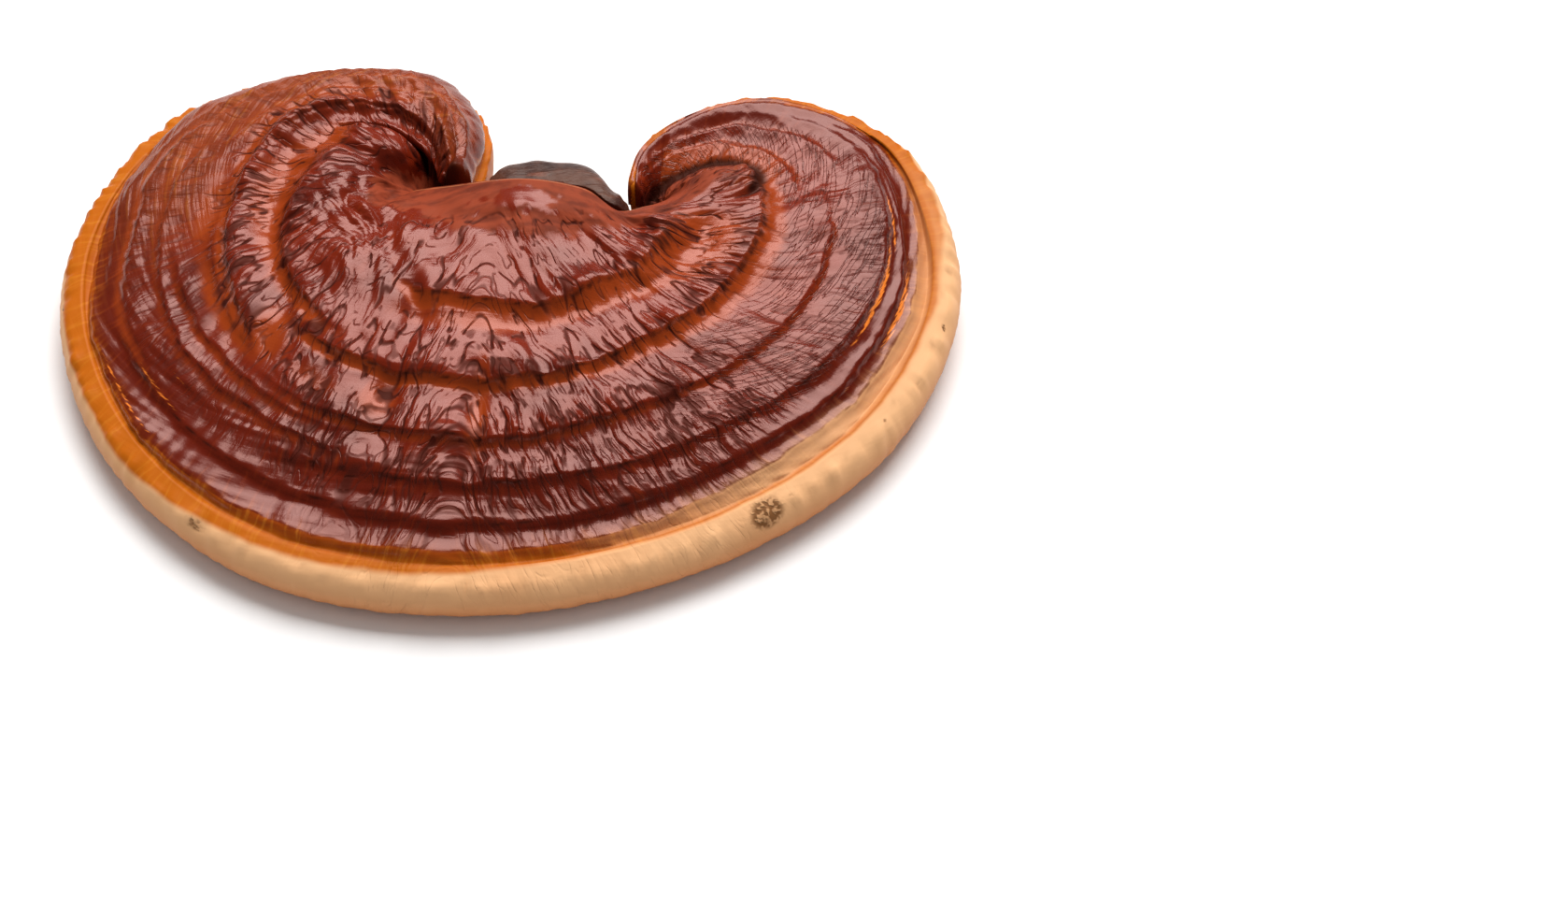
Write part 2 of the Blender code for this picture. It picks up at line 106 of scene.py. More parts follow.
# Growth lines, each a shoulder where the crust steps down towards the margin. Points of a line:
# place along the margin in mm | row of the top, 0 at the lip and 1 at the rim | drop in mm |
# width of the steep part in mm
GROWTH_LINES = {
    "inner terrace": ((240, 0.215, 0.0, 1.5), (256, 0.245, 0.7, 1.5), (270, 0.250, 1.0, 1.3),
                      (290, 0.257, 1.1, 1.3), (300, 0.265, 1.1, 1.4), (315, 0.250, 1.1, 2.0),
                      (330, 0.240, 1.1, 2.5), (345, 0.233, 1.1, 3.0), (358, 0.200, 1.0, 4.0),
                      (370, 0.175, 1.4, 5.0), (390, 0.140, 1.3, 6.0), (410, 0.120, 0.6, 6.0),
                      (425, 0.110, 0.0, 6.0)),
    "left fold":     ((50, 0.130, 0.3, 0.8), (60, 0.205, 0.3, 0.8), (70, 0.250, 0.3, 0.8),
                      (80, 0.295, 0.4, 0.9), (88, 0.285, 0.5, 2.0), (98, 0.240, 0.6, 3.5),
                      (105, 0.228, 0.8, 4.0), (115, 0.245, 1.0, 4.5), (130, 0.270, 1.2, 5.0),
                      (150, 0.300, 1.3, 4.5), (165, 0.325, 1.3, 3.5), (180, 0.335, 1.3, 2.5),
                      (200, 0.345, 1.3, 1.8), (215, 0.350, 1.0, 1.5), (228, 0.352, 0.5, 1.5),
                      (240, 0.350, 0.0, 1.5)),
    "left swelling": ((40, 0.475, 0.4, 1.5), (60, 0.475, 0.5, 1.5), (80, 0.470, 0.7, 1.5),
                      (100, 0.465, 0.8, 1.5), (130, 0.462, 1.2, 1.6), (150, 0.468, 1.3, 1.6),
                      (170, 0.470, 1.2, 1.4), (190, 0.475, 1.0, 1.4), (205, 0.490, 0.6, 2.0),
                      (218, 0.500, 0.0, 2.0)),
    "left follower": ((145, 0.500, 0.0, 1.0), (165, 0.505, 0.4, 1.2), (190, 0.510, 0.5, 1.5),
                      (205, 0.515, 0.4, 2.0), (218, 0.520, 0.0, 2.0)),
    "ring A":        ((212, 0.400, 0.0, 1.0), (225, 0.395, 0.5, 1.0), (240, 0.390, 0.9, 1.0),
                      (260, 0.388, 1.0, 1.0), (275, 0.387, 1.0, 1.0), (290, 0.393, 1.1, 1.0),
                      (300, 0.398, 1.1, 1.0), (315, 0.395, 1.2, 1.2), (330, 0.392, 1.2, 1.4),
                      (345, 0.393, 1.3, 1.7), (370, 0.399, 1.4, 2.0), (400, 0.402, 1.4, 2.2),
                      (420, 0.402, 1.5, 2.2), (433, 0.395, 1.8, 2.0), (442, 0.385, 2.0, 2.0),
                      (452, 0.410, 2.0, 2.5), (462, 0.440, 1.7, 3.0), (480, 0.460, 1.2, 3.5),
                      (505, 0.450, 0.6, 3.5)),
    "ring B":        ((212, 0.545, 0.0, 1.2), (228, 0.548, 0.5, 1.2), (245, 0.549, 0.9, 1.0),
                      (260, 0.548, 1.0, 1.0), (280, 0.550, 1.0, 1.0), (300, 0.555, 1.0, 0.9),
                      (315, 0.552, 0.9, 0.9), (330, 0.557, 0.8, 0.8), (345, 0.562, 0.7, 0.7),
                      (368, 0.573, 0.7, 0.6), (390, 0.582, 0.9, 0.6), (415, 0.584, 0.8, 0.7),
                      (428, 0.585, 0.4, 0.8), (442, 0.600, 0.2, 1.0), (455, 0.630, 0.0, 1.0)),
    "left ridge 1":  ((150, 0.600, 0.0, 1.0), (165, 0.595, 0.4, 1.0), (190, 0.590, 0.6, 1.0),
                      (220, 0.585, 0.6, 1.0), (240, 0.585, 0.4, 1.0), (252, 0.580, 0.0, 1.0)),
    "left ridge 2":  ((108, 0.635, 0.0, 1.0), (125, 0.638, 0.6, 1.0), (145, 0.638, 0.6, 1.0),
                      (165, 0.640, 0.6, 1.0), (190, 0.650, 0.7, 1.2), (205, 0.650, 0.6, 1.2),
                      (220, 0.640, 0.7, 1.2), (240, 0.645, 0.6, 1.2), (255, 0.660, 0.3, 1.2),
                      (268, 0.670, 0.0, 1.2)),
    "ring C":        ((170, 0.715, 0.0, 1.5), (195, 0.710, 0.4, 1.5), (225, 0.700, 0.4, 1.5),
                      (240, 0.700, 0.5, 1.5), (258, 0.695, 0.8, 1.5), (275, 0.705, 1.0, 1.5),
                      (290, 0.698, 1.0, 1.3), (305, 0.705, 1.0, 1.3), (320, 0.712, 0.9, 1.3),
                      (340, 0.705, 0.9, 1.3), (360, 0.712, 1.0, 1.3), (380, 0.722, 1.1, 1.3),
                      (400, 0.727, 1.2, 1.2), (420, 0.735, 1.1, 1.2), (435, 0.748, 0.9, 1.3),
                      (450, 0.765, 0.6, 1.3), (470, 0.790, 0.4, 1.3), (495, 0.800, 0.0, 1.3)),
    "outer ridge":   ((165, 0.785, 0.0, 0.9), (190, 0.782, 0.7, 0.9), (215, 0.783, 0.7, 0.9),
                      (240, 0.785, 0.8, 0.9), (255, 0.790, 0.8, 1.0), (270, 0.800, 1.0, 1.0),
                      (285, 0.800, 1.1, 1.0), (300, 0.803, 1.1, 1.0), (320, 0.797, 1.1, 1.0),
                      (340, 0.790, 1.2, 1.0), (370, 0.790, 1.2, 1.0), (400, 0.790, 1.2, 1.0),
                      (420, 0.793, 1.2, 1.0), (440, 0.800, 0.9, 1.0), (455, 0.820, 0.5, 1.0),
                      (470, 0.830, 0.0, 1.0)),
    "crust edge":    ((0, 0.860, 0.3, 1.0), (45, 0.930, 0.2, 1.0), (110, 0.930, 0.2, 1.0),
                      (150, 0.870, 0.4, 1.0),
                      (180, 0.895, 0.6, 1.0), (200, 0.900, 0.6, 1.0), (230, 0.882, 0.7, 1.0),
                      (260, 0.878, 0.7, 1.0), (300, 0.875, 0.7, 1.0), (330, 0.850, 0.7, 1.0),
                      (360, 0.838, 0.7, 1.0), (390, 0.845, 0.6, 1.0), (415, 0.850, 0.6, 1.0),
                      (440, 0.890, 0.2, 1.0), (470, 0.930, 0.1, 1.0), (526, 0.930, 0.1, 1.0)),
    "back ridge 1":  ((0, 0.520, 0.3, 1.2), (45, 0.525, 0.5, 1.2), (75, 0.525, 0.6, 1.2),
                      (95, 0.535, 0.5, 1.2), (115, 0.560, 0.3, 1.2), (130, 0.570, 0.0, 1.2)),
    "back ridge 2":  ((0, 0.640, 0.3, 1.2), (40, 0.630, 0.6, 1.2), (60, 0.615, 0.7, 1.2),
                      (75, 0.605, 0.7, 1.2), (90, 0.640, 0.6, 1.2), (105, 0.690, 0.6, 1.2),
                      (120, 0.750, 0.6, 1.2), (140, 0.720, 0.6, 1.2), (160, 0.745, 0.5, 1.2),
                      (185, 0.755, 0.4, 1.2), (215, 0.750, 0.0, 1.2)),
    "back ridge 3":  ((0, 0.760, 0.4, 1.2), (50, 0.730, 0.7, 1.2), (80, 0.720, 0.7, 1.2),
                      (105, 0.770, 0.6, 1.2), (120, 0.815, 0.5, 1.2), (150, 0.800, 0.4, 1.2),
                      (170, 0.810, 0.0, 1.2)),
    "right lobe 1":  ((430, 0.500, 0.0, 1.0), (450, 0.530, 0.5, 1.0), (470, 0.570, 0.6, 1.0),
                      (490, 0.600, 0.5, 1.0), (526, 0.620, 0.3, 1.0)),
    "right lobe 2":  ((440, 0.660, 0.0, 1.0), (455, 0.680, 0.4, 1.0), (475, 0.700, 0.5, 1.0),
                      (500, 0.700, 0.5, 1.0), (526, 0.700, 0.3, 1.0)),
}
# How much of each line's groove is orange-brown; the rest of it is as dark as the crust
LINE_TINT = {"inner terrace": 1.0, "left fold": 0.8, "left swelling": 0.8, "left follower": 0.6,
             "ring A": 1.0, "ring B": 0.45, "left ridge 1": 0.5, "left ridge 2": 0.4,
             "ring C": 0.25, "outer ridge": 0.15, "crust edge": 0.0, "back ridge 1": 0.8,
             "back ridge 2": 0.7, "back ridge 3": 0.5, "right lobe 1": 0.6, "right lobe 2": 0.5}
RISE_LENGTH = 3.6 * MM          # how long a terrace takes to rise to its shoulder
SHORT_RISE = 1.8 * MM           # the same for the thin ridges near the margin
THIN_RIDGES = ("left ridge 1", "left ridge 2", "back ridge 1", "back ridge 2", "back ridge 3",
               "outer ridge", "crust edge")
RECOVERY = 9.0                  # how far past a shoulder its dip lasts, in widths of its steep part
LINE_WOBBLE = 0.45 * MM         # how far a growth line strays from its smooth course

# Cracks and creases: place in mm | row | depth in mm | half width in mm
CREASES = {
    "pit crack":     ((44, 0.090, 2.5, 0.8), (50, 0.160, 3.8, 0.8), (58, 0.225, 4.0, 0.8),
                      (68, 0.275, 3.8, 0.7), (76, 0.310, 3.2, 0.6), (85, 0.333, 2.2, 0.5),
                      (92, 0.335, 0.0, 0.5)),
    "swelling line": ((40, 0.395, 0.0, 0.6), (52, 0.415, 0.4, 0.6), (60, 0.425, 0.4, 0.6),
                      (90, 0.427, 0.4, 0.6), (105, 0.430, 0.4, 0.6), (118, 0.445, 0.4, 0.6),
                      (128, 0.460, 0.0, 0.6)),
    "right fold":    ((425, 0.330, 0.0, 1.5), (435, 0.370, 0.8, 1.5), (445, 0.405, 1.6, 1.8),
                      (455, 0.435, 2.0, 2.0), (470, 0.465, 1.8, 2.2), (490, 0.460, 1.4, 2.2),
                      (510, 0.440, 1.0, 2.0), (526, 0.430, 0.6, 2.0)),
}

# Valleys that run across the terraces: row | place in mm | depth in mm | half width in mm
VALLEYS = {
    "left of centre": ((0.10, 215, 0.0, 4.0), (0.17, 235, 1.0, 4.0), (0.24, 252, 1.4, 3.0),
                       (0.40, 256, 1.2, 2.5), (0.52, 257, 0.9, 2.5), (0.60, 257, 0.0, 2.5)),
    "centre":         ((0.36, 279, 0.0, 2.0), (0.42, 279, 0.9, 2.2), (0.55, 280, 1.0, 2.4),
                       (0.70, 279, 0.9, 2.4), (0.78, 279, 0.0, 2.0)),
}

# The zone where the cream rim starts, along the margin in mm
CREAM_START = ((0, 3.2), (120, 3.0), (135, 2.7), (150, 2.58), (205, 2.46), (225, 2.30),
               (245, 2.20), (285, 2.10), (300, 2.06), (400, 2.06), (418, 2.15), (440, 2.40),
               (455, 2.6), (475, 3.0), (526, 3.2))

# The row up to which the matte skin of the neck reaches, along the margin in mm
NECK_END = ((0, 0.20), (40, 0.07), (60, 0.05), (100, 0.07), (150, 0.11), (200, 0.13), (230, 0.07),
            (255, 0.11), (300, 0.13), (340, 0.12), (380, 0.10), (400, 0.10), (425, 0.14),
            (445, 0.26), (460, 0.36), (480, 0.42), (526, 0.44))

# Swellings and dents: place in mm | row | half size in mm | half size in rows | height in mm
SWELLS = (
    (287, 0.050, 24, 0.050, 0.9),
    (85, 0.130, 30, 0.060, 2.2),
    (130, 0.440, 70, 0.035, 1.5),
    (60, 0.430, 30, 0.050, 1.2),
    (165, 0.350, 38, 0.040, -1.3),
    (115, 0.300, 18, 0.050, -0.8),
    (250, 0.340, 30, 0.035, 0.6),
    (300, 0.345, 30, 0.035, 0.6),
    (300, 0.290, 40, 0.020, -0.5),
    (392, 0.250, 26, 0.050, -1.6),
    (375, 0.170, 20, 0.035, 0.6),
    (350, 0.285, 22, 0.020, -0.5),
    (395, 0.350, 30, 0.040, 0.5),
    (24, 0.130, 20, 0.110, -2.6),
    (6, 0.300, 12, 0.300, -2.6),
    (50, 0.110, 12, 0.080, -1.6),
    (512, 0.300, 12, 0.200, -1.8),
)

# Where the rim is lower and the crust beside it fuller: place in mm | lowering of the rim in mm
RIM_DROP = ((0, 0.8), (90, 0.8), (130, 0.0), (425, 0.0), (450, 1.2), (480, 2.2), (526, 1.8))

BAND_BULGE = 0.8 * MM           # how much the ochre band bulges

# How pale the ochre band is, along the margin in mm
PALE_BAND = ((0, 0.0), (60, 0.0), (300, 0.0), (325, 0.5), (345, 0.85), (400, 0.7), (430, 0.35),
             (450, 0.0), (526, 0.0))

# Painted shade in the hollows: place in mm | row | half size in mm | half size in rows | strength
HOLLOW_SHADES = ((0, 0.35, 12, 0.42, 1.3), (22, 0.12, 22, 0.12, 1.2), (44, 0.12, 12, 0.08, 1.0),
           (56, 0.17, 8, 0.05, 0.6), (516, 0.30, 9, 0.16, 0.9))

# Orange-brown velvet at the back of the left lobe: place in mm | row | half size in mm | half
# size in rows | strength
VELVET = ((85, 0.72, 50, 0.20, 1.0), (130, 0.62, 24, 0.10, 0.7), (40, 0.65, 25, 0.20, 0.7),
          (480, 0.30, 36, 0.14, 0.8), (455, 0.22, 16, 0.10, 0.6))

# Marks on the rim: place in mm | zone | half size in mm | half size in zones | strength
STAINS = ((342, 2.44, 3.4, 0.30, 1.0), (348.5, 2.30, 1.6, 0.06, 0.5), (388, 2.40, 0.9, 0.05, 0.8),
          (403, 2.44, 0.7, 0.05, 0.9), (375, 2.36, 0.8, 0.04, 0.7), (225, 2.50, 2.6, 0.12, 0.6),
          (159, 2.55, 0.9, 0.06, 0.7), (368, 2.25, 1.6, 0.03, 0.4))

# Painted glints, streaks of bright orange reflection in the outer crust's colour: place in mm |
# row | half size in mm | half size in rows | strength
PAINTED_GLINT_STREAKS = ((196, 0.775, 18, 0.006, 0.7), (196, 0.715, 14, 0.005, 0.5),
                (190, 0.868, 20, 0.008, 0.8), (212, 0.745, 10, 0.006, 0.5),
                (405, 0.748, 22, 0.010, 1.0), (428, 0.768, 14, 0.008, 0.8),
                (403, 0.818, 16, 0.010, 1.0), (372, 0.806, 14, 0.006, 0.5))

# Soft patches where the crust is orange-brown, beside the grooves: place in mm | row | half
# size in mm | half size in rows | strength
ORANGE_PATCHES = ((213, 0.46, 9, 0.08, 0.9), (190, 0.53, 30, 0.03, 0.8), (254, 0.47, 6, 0.07, 0.8),
                  (280, 0.48, 3, 0.14, 0.9), (300, 0.285, 50, 0.022, 0.9),
                  (345, 0.265, 25, 0.04, 0.9), (385, 0.22, 22, 0.06, 0.9),
                  (140, 0.37, 25, 0.03, 0.9), (110, 0.30, 14, 0.05, 0.6),
                  (145, 0.53, 22, 0.04, 0.8), (95, 0.55, 25, 0.06, 0.7), (60, 0.60, 30, 0.08, 0.6),
                  (120, 0.68, 25, 0.05, 0.6), (330, 0.42, 40, 0.018, 0.8),
                  (235, 0.48, 12, 0.05, 0.5))

# Mesh density of the cap
CAP_COLUMNS = 500
TIP_COLUMNS = 8
WALL_ROWS = 6
TOP_STRETCHES = (40, 44, 26, 20, 14, 8)     # rows between one of RING_ROWS and the next
RIM_ROWS = 18
UNDER_ROWS = 12


def smooth(low, high, x):
    """0 below low, 1 above high and a smooth rise between them."""
    t = np.clip((x - low) / (high - low), 0.0, 1.0)
    return t * t * (3 - 2 * t)


def bell(x, width):
    """1 at 0, falling to 0 over a few widths on both sides."""
    return np.exp(-(x / width) ** 2)


class Curve:
    """A smooth curve through values at knots, which are in rising order. A value may be an array
    of one number for each section of the cap."""

    def __init__(self, knots, values):
        self.knots = np.array(knots, float)
        self.values = np.array(values, float)
        widths = np.diff(self.knots).reshape(-1, *[1] * (self.values.ndim - 1))
        sides = np.diff(self.values, axis=0) / widths
        inner = (sides[:-1] * widths[1:] + sides[1:] * widths[:-1]) / (widths[:-1] + widths[1:])
        self.slopes = np.concatenate([sides[:1], inner, sides[-1:]])

    def __call__(self, x):
        i = np.clip(np.searchsorted(self.knots, x, "right") - 1, 0, len(self.knots) - 2)
        own = (np.arange(self.values.shape[1]),) if self.values.ndim == 2 and np.ndim(x) else ()
        here, ahead = (i, *own), (i + 1, *own)
        span = self.knots[i + 1] - self.knots[i]
        t = (x - self.knots[i]) / span
        return (self.values[here] * (1 + 2 * t) * (1 - t) ** 2
                + self.values[ahead] * t * t * (3 - 2 * t)
                + span * (self.slopes[here] * t * (1 - t) ** 2
                          - self.slopes[ahead] * t * t * (1 - t)))


def scramble(x, y, seed):
    """A number from 0 to 1 for each pair of whole numbers, with no pattern to it."""
    return np.sin(x * 12.9898 + y * 78.233 + seed * 37.719) * 43758.5453 % 1.0


def noise(x, y, seed):
    """Smooth noise from about -1 to 1 over a plane, whose waves are about 2 long."""
    low_x, low_y = np.floor(x), np.floor(y)
    total = 0.0
    for corner_x in (low_x, low_x + 1):
        for corner_y in (low_y, low_y + 1):
            angle = 2 * math.pi * scramble(corner_x, corner_y, seed)
            dx, dy = x - corner_x, y - corner_y
            weight = smooth(0, 1, 1 - abs(dx)) * smooth(0, 1, 1 - abs(dy))
            total = total + weight * (np.cos(angle) * dx + np.sin(angle) * dy)
    return 1.9 * total


def section_knots():
    """The place of each section along the margin, in metres from the left slit."""
    margins = np.array([section[1] for section in SECTIONS.values()])
    steps = np.hypot(*np.diff(margins, axis=0).T)
    return np.concatenate([[0.0], np.cumsum(steps)])


KNOTS = section_knots()
TOTAL = KNOTS[-1]


def section_curve(pick):
    """The curve of one figure of the sections along the margin."""
    return Curve(KNOTS, [pick(row) for row in SECTIONS.values()])


def along(places, table):
    """A figure at places along the margin, from a table of place in mm and figure."""
    knots, values = np.array(table).T
    return np.interp(places, knots * MM, values)


def cap_places():
    """Places of the sections along the margin, closer together on the rounded lobe tips."""
    tip = TIP_ROUND * (np.arange(TIP_COLUMNS) / TIP_COLUMNS) ** 2
    middle = np.linspace(TIP_ROUND, TOTAL - TIP_ROUND, CAP_COLUMNS)
    return np.concatenate([tip, middle, TOTAL - tip[::-1]])


class SmoothCap:
    """The cap's smooth sections, all at once. Every figure is an array with one number for each
    section, and a point of a section is its distance across and its height."""

    def __init__(self, places):
        self.inner = np.array([section_curve(lambda row: row[0][k])(places) for k in range(2)])
        self.outer = np.array([section_curve(lambda row: row[1][k])(places) for k in range(2)])
        self.length = np.hypot(*(self.outer - self.inner))
        self.lip = np.minimum(LIP_ROUND, 0.2 * self.length)
        self.margin_height = section_curve(lambda row: row[4])(places)
        self.under_height = np.maximum(section_curve(lambda row: row[5])(places), 0.0)
        rings = [self.length * section_curve(lambda row: row[2][k])(places) for k in range(4)]
        self.rim = np.minimum(RIM_DEPTH, 0.75 * (self.length - rings[3]))
        heights = [section_curve(lambda row: row[3][k])(places) for k in range(6)]
        self.across = Curve(RING_ROWS, [self.lip, rings[0] / 2, *rings, self.length - self.rim])
        self.height = Curve(RING_ROWS, [*heights, self.margin_height + RIM_RISE])
        self.lip_height = heights[0]

    def wall(self, t):
        """The wall over the stem or round a pit, from the underside (t = 0) up to the lip."""
        lip_round = np.minimum(LIP_ROUND, 0.3 * self.lip_height)
        if t <= 0.5:
            return 0 * self.lip, 2 * t * (self.lip_height - lip_round)
        angle = (t - 0.5) * math.pi
        return (self.lip * (1 - math.cos(angle)),
                self.lip_height - lip_round * (1 - math.sin(angle)))

    def top(self, t):
        """The top, from the lip (t = 0) to the start of the rounded rim (t = 1)."""
        return self.across(t), self.height(t)

    def edge(self, t):
        """The rounded rim, from its top (t = 0) to its underside (t = 1)."""
        angle = math.radians(90 - 180 * t)
        rise = RIM_RISE if angle > 0 else self.margin_height - self.under_height
        return (self.length - self.rim * (1 - math.cos(angle)),
                self.margin_height + rise * math.sin(angle))

    def underside(self, t):
        """The pore surface, from the rim (t = 0) to the inner point (t = 1)."""
        return (1 - t) * (self.length - self.rim), self.under_height * (1 - t) ** 2

    def points(self, across, height):
        """Points in space, for arrays of one row for each section."""
        share = (across.T / self.length).T[..., None]
        flat = self.inner.T[:, None] + (self.outer - self.inner).T[:, None] * share
        return np.concatenate([flat, height[..., None]], axis=2)


def cap_rows():
    """All rows of the cap: up the wall, over the top, round the rim and back underneath. Each
    is the name of the part of the section it runs on and its place there."""
    rows = [("wall", i / WALL_ROWS) for i in range(WALL_ROWS)]
    for low, high, count in zip(RING_ROWS, RING_ROWS[1:], TOP_STRETCHES):
        rows += [("top", low + (high - low) * i / count) for i in range(count)]
    rows += [("edge", i / RIM_ROWS) for i in range(RIM_ROWS)]
    rows += [("underside", i / UNDER_ROWS) for i in range(UNDER_ROWS)]
    return rows


class Course:
    """A growth line or a crease along the margin: its row, size and width for each section."""

    def __init__(self, points, places, cap, seed):
        knots, rows, sizes, widths = np.array(points).T
        knots = knots * MM
        inside = (places >= knots[0]) & (places <= knots[-1])
        at = np.clip(places, knots[0], knots[-1])
        sway = noise(places / 0.009, places * 0, seed) + 0.5 * noise(places / 0.003, places * 0, seed)
        self.across = cap.across(Curve(knots, rows)(at)) + LINE_WOBBLE * sway
        self.size = np.maximum(Curve(knots, sizes * MM)(at), 0.0) * inside
        self.width = np.maximum(Curve(knots, widths * MM)(at), 0.3 * MM)

    def past(self, across):
        """How far each point lies past the line, towards the margin."""
        return across - self.across[:, None]


class FinishedCap:
    """The cap's points with all their relief, and the figures that its material reads. Arrays
    have one row for each section and one column for each of the cap's rows."""

    def __init__(self, settings):
        self.settings = settings
        self.places = cap_places()
        self.rows = cap_rows()
        self.cap = SmoothCap(self.places)
        base = np.array([getattr(self.cap, part)(t) for part, t in self.rows])
        self.across, self.height = base.transpose(1, 2, 0)
        parts = np.array([part for part, _ in self.rows])
        self.steps = np.array([t for _, t in self.rows])
        self.on = {part: (parts == part)[None, :] for part in ("wall", "top", "edge", "underside")}
        self.t = np.select([parts == "wall", parts == "top"], [0 * self.steps, self.steps], 1.0)[None, :]
        self.place = self.places[:, None] + 0 * self.across
        smooth_points = self.cap.points(self.across, self.height)
        apart = np.gradient(smooth_points, self.places, axis=0)
        self.spread = np.maximum(np.linalg.norm(apart, axis=2), 0.02)
        self.figures = {"spread": self.spread}

    def fan_noise(self, wave, length, seed, slant=0.0):
        """Noise whose waves are wave metres wide along the margin wherever the sections fan
        out, and about length metres long across it. The slant moves them along the margin by
        that share of the way across."""
        level = np.log2(self.spread)
        low = np.floor(level)
        share = smooth(0.3, 0.7, level - low)
        total = 0.0
        for step, weight in ((low, 1 - share), (low + 1, share)):
            x = (self.place * 2.0 ** step - slant * self.across) * 2 / wave
            total = total + weight * noise(x, self.across * 2 / length, seed + 5 * step)
        return total / np.sqrt(share ** 2 + (1 - share) ** 2)

    def terraces(self):
        """Height that the growth lines give, the mask of the grooves past them and the painted
        shade along their shoulders.
        """
        height = 0.0
        groove = 0.0
        shade = 0.0
        shoulder = 0.0
        for i, (name, points) in enumerate(GROWTH_LINES.items()):
            line = Course(points, self.places, self.cap, 11 * i)
            x = line.past(self.across)
            drop = line.size[:, None] * self.settings.terrace_factor
            width = line.width[:, None]
            run_up = SHORT_RISE if name in THIN_RIDGES else RISE_LENGTH
            rise = 0.5 * np.exp(np.minimum(x, 0) / run_up)
            beyond = np.maximum(x, 0) / width
            fall = (np.exp(-beyond ** 1.4) - 0.5) * np.exp(-beyond / RECOVERY)
            height = height + drop * np.where(x < 0, rise, fall)
            strength = np.minimum(drop / MM, 1.0)
            mask = bell(x - 1.3 * width, 1.3 * width) * strength
            groove = np.maximum(groove, mask * LINE_TINT[name])
            # Painted shade: a jagged dark line along each shoulder's edge, where the step shades the
            # groove
            jagged = 0.25 + 0.5 * smooth(-0.6, 0.6, noise(self.place / 0.003, self.across / 0.02, i))
            edge = bell(x - 0.35 * width, 0.4 * width)
            shade = np.maximum(shade, jagged * edge * strength)
            shoulder = np.maximum(shoulder, strength * np.exp(-abs(x + 1.5 * MM) / (2.5 * MM)))
        self.figures["shoulder"] = shoulder * self.on["top"]
        return height, groove, shade

    def cuts(self):
        """Depth of the creases, and the painted shade that darkens them."""
        depth = 0.0
        dark = 0.0
        for i, points in enumerate(CREASES.values()):
            line = Course(points, self.places, self.cap, 91 + 7 * i)
            x = line.past(self.across) / line.width[:, None]
            deep = line.size[:, None]
            depth = depth + deep * bell(x, 1.0)
            dark = np.maximum(dark, np.minimum(deep / MM, 1.0) * bell(x, 1.2))
        return depth, dark

    def valleys(self):
        """Depth of the valleys that run across the terraces."""
        depth = 0.0
        for points in VALLEYS.values():
            rows, places, depths, widths = np.array(points).T
            inside = (self.t >= rows[0]) & (self.t <= rows[-1])
            at = np.clip(self.t, rows[0], rows[-1])
            x = (self.place - Curve(rows, places * MM)(at)) * self.spread
            deep = np.maximum(Curve(rows, depths * MM)(at), 0) * inside
            depth = depth + deep * bell(x, Curve(rows, widths * MM)(at))
        return depth

    def wrinkles(self):
        """Height of the swellings, folds and wrinkles of the top."""
        sizes = self.settings
        near = smooth(0.0, 0.06, self.t) * (1 - smooth(0.93, 1.0, self.t))
        broad = 0.7 * MM * noise(self.place / 0.020, self.across / 0.012, 3)
        fold = self.fold_zone()
        self.figures["fold"] = fold
        bend = 0.4 * noise(self.place / 0.050, self.across / 0.014, 5)
        tail = smooth(0.212, 0.250, self.place) * self.across / 0.0065
        folds = abs(noise(self.place / 0.045 + 0.4 * bend, self.across / 0.0040 + bend - tail, 21))
        coarse = abs(self.fan_noise(0.0085, 0.022, 35, self.slant()))
        swell = 0.5 * MM * noise(self.place / 0.022, self.across / 0.0035, 13)
        broad = broad * near + swell * (1 - smooth(0.10, 0.16, self.t))
        outward = smooth(0.55, 0.75, self.t)
        rings = noise(self.place / 0.015, self.across / 0.0009, 77)
        crumple = self.crumple() * (1 - 0.8 * fold)
        self.figures["crumple"] = crumple
        height = broad + 2.6 * sizes.fold_height * folds * fold
        coarse = coarse * (0.7 + 1.6 * self.figures["shoulder"])
        height = height + 2 * sizes.wrinkle_height * coarse * crumple
        height = height + sizes.ridge_height * rings * outward
        return height * near

    def fold_zone(self):
        """Where folds run along the margin rather than across it, left of the neck."""
        return bell(self.place - 0.196, 0.042) * bell(self.t - 0.185, 0.075)

    def slant(self):
        """How much the wrinkles slant: more in front of the neck and to its right."""
        return 0.45 * smooth(0.25, 0.28, self.place)

    def patches(self, table, heights, combine=np.maximum):
        """A table's soft patches at each point: the strongest one, or their sum. Heights are the
        rows or zones that the table's patches lie at."""
        value = 0.0 * self.place
        for place, level, half_place, half_level, strength in table:
            reach = bell(self.place - place * MM, half_place * MM)
            value = combine(value, strength * reach * bell(heights - level, half_level))
        return value

    def crumple(self):
        """How strongly the crust is crumpled, from 0 to about 1."""
        calm = smooth(0.02, 0.13, self.t) * (1 - 0.55 * smooth(0.72, 0.80, self.t))
        left = 1 - 0.6 * smooth(0.47, 0.55, self.t) * (1 - smooth(0.225, 0.265, self.place))
        right = 1 - 0.6 * smooth(0.33, 0.37, self.place) * smooth(0.36, 0.44, self.t)
        return calm * left * right

    def rim_relief(self):
        """Height of the rim's bumpy crest and of its swellings, and the creases above it, whose
        mask also carries the painted shade in them.
        """
        t = self.steps[None, :]
        lumps = noise(self.place / 0.0021, t * 2, 5)
        small = noise(self.place / 0.0009, t * 7, 15)
        crest = t - 0.19 - 0.02 * noise(self.place / 0.006, t * 0, 25)
        shape = np.where(crest < 0, bell(crest, 0.035), bell(crest, 0.12))
        ridge = shape * self.settings.rim_bumps * (0.75 + 0.9 * lumps + 0.5 * small)
        # The crease mask also darkens the rim's colour: painted shade in the notches above the crest
        crease = bell(crest + 0.05, 0.016) * smooth(0.15, 0.55, noise(self.place / 0.0035, t * 0, 35))
        self.figures["crease"] = crease * self.on["edge"]
        return ridge - 0.15 * MM * crease + 0.22 * MM * lumps * np.sin(math.pi * t)

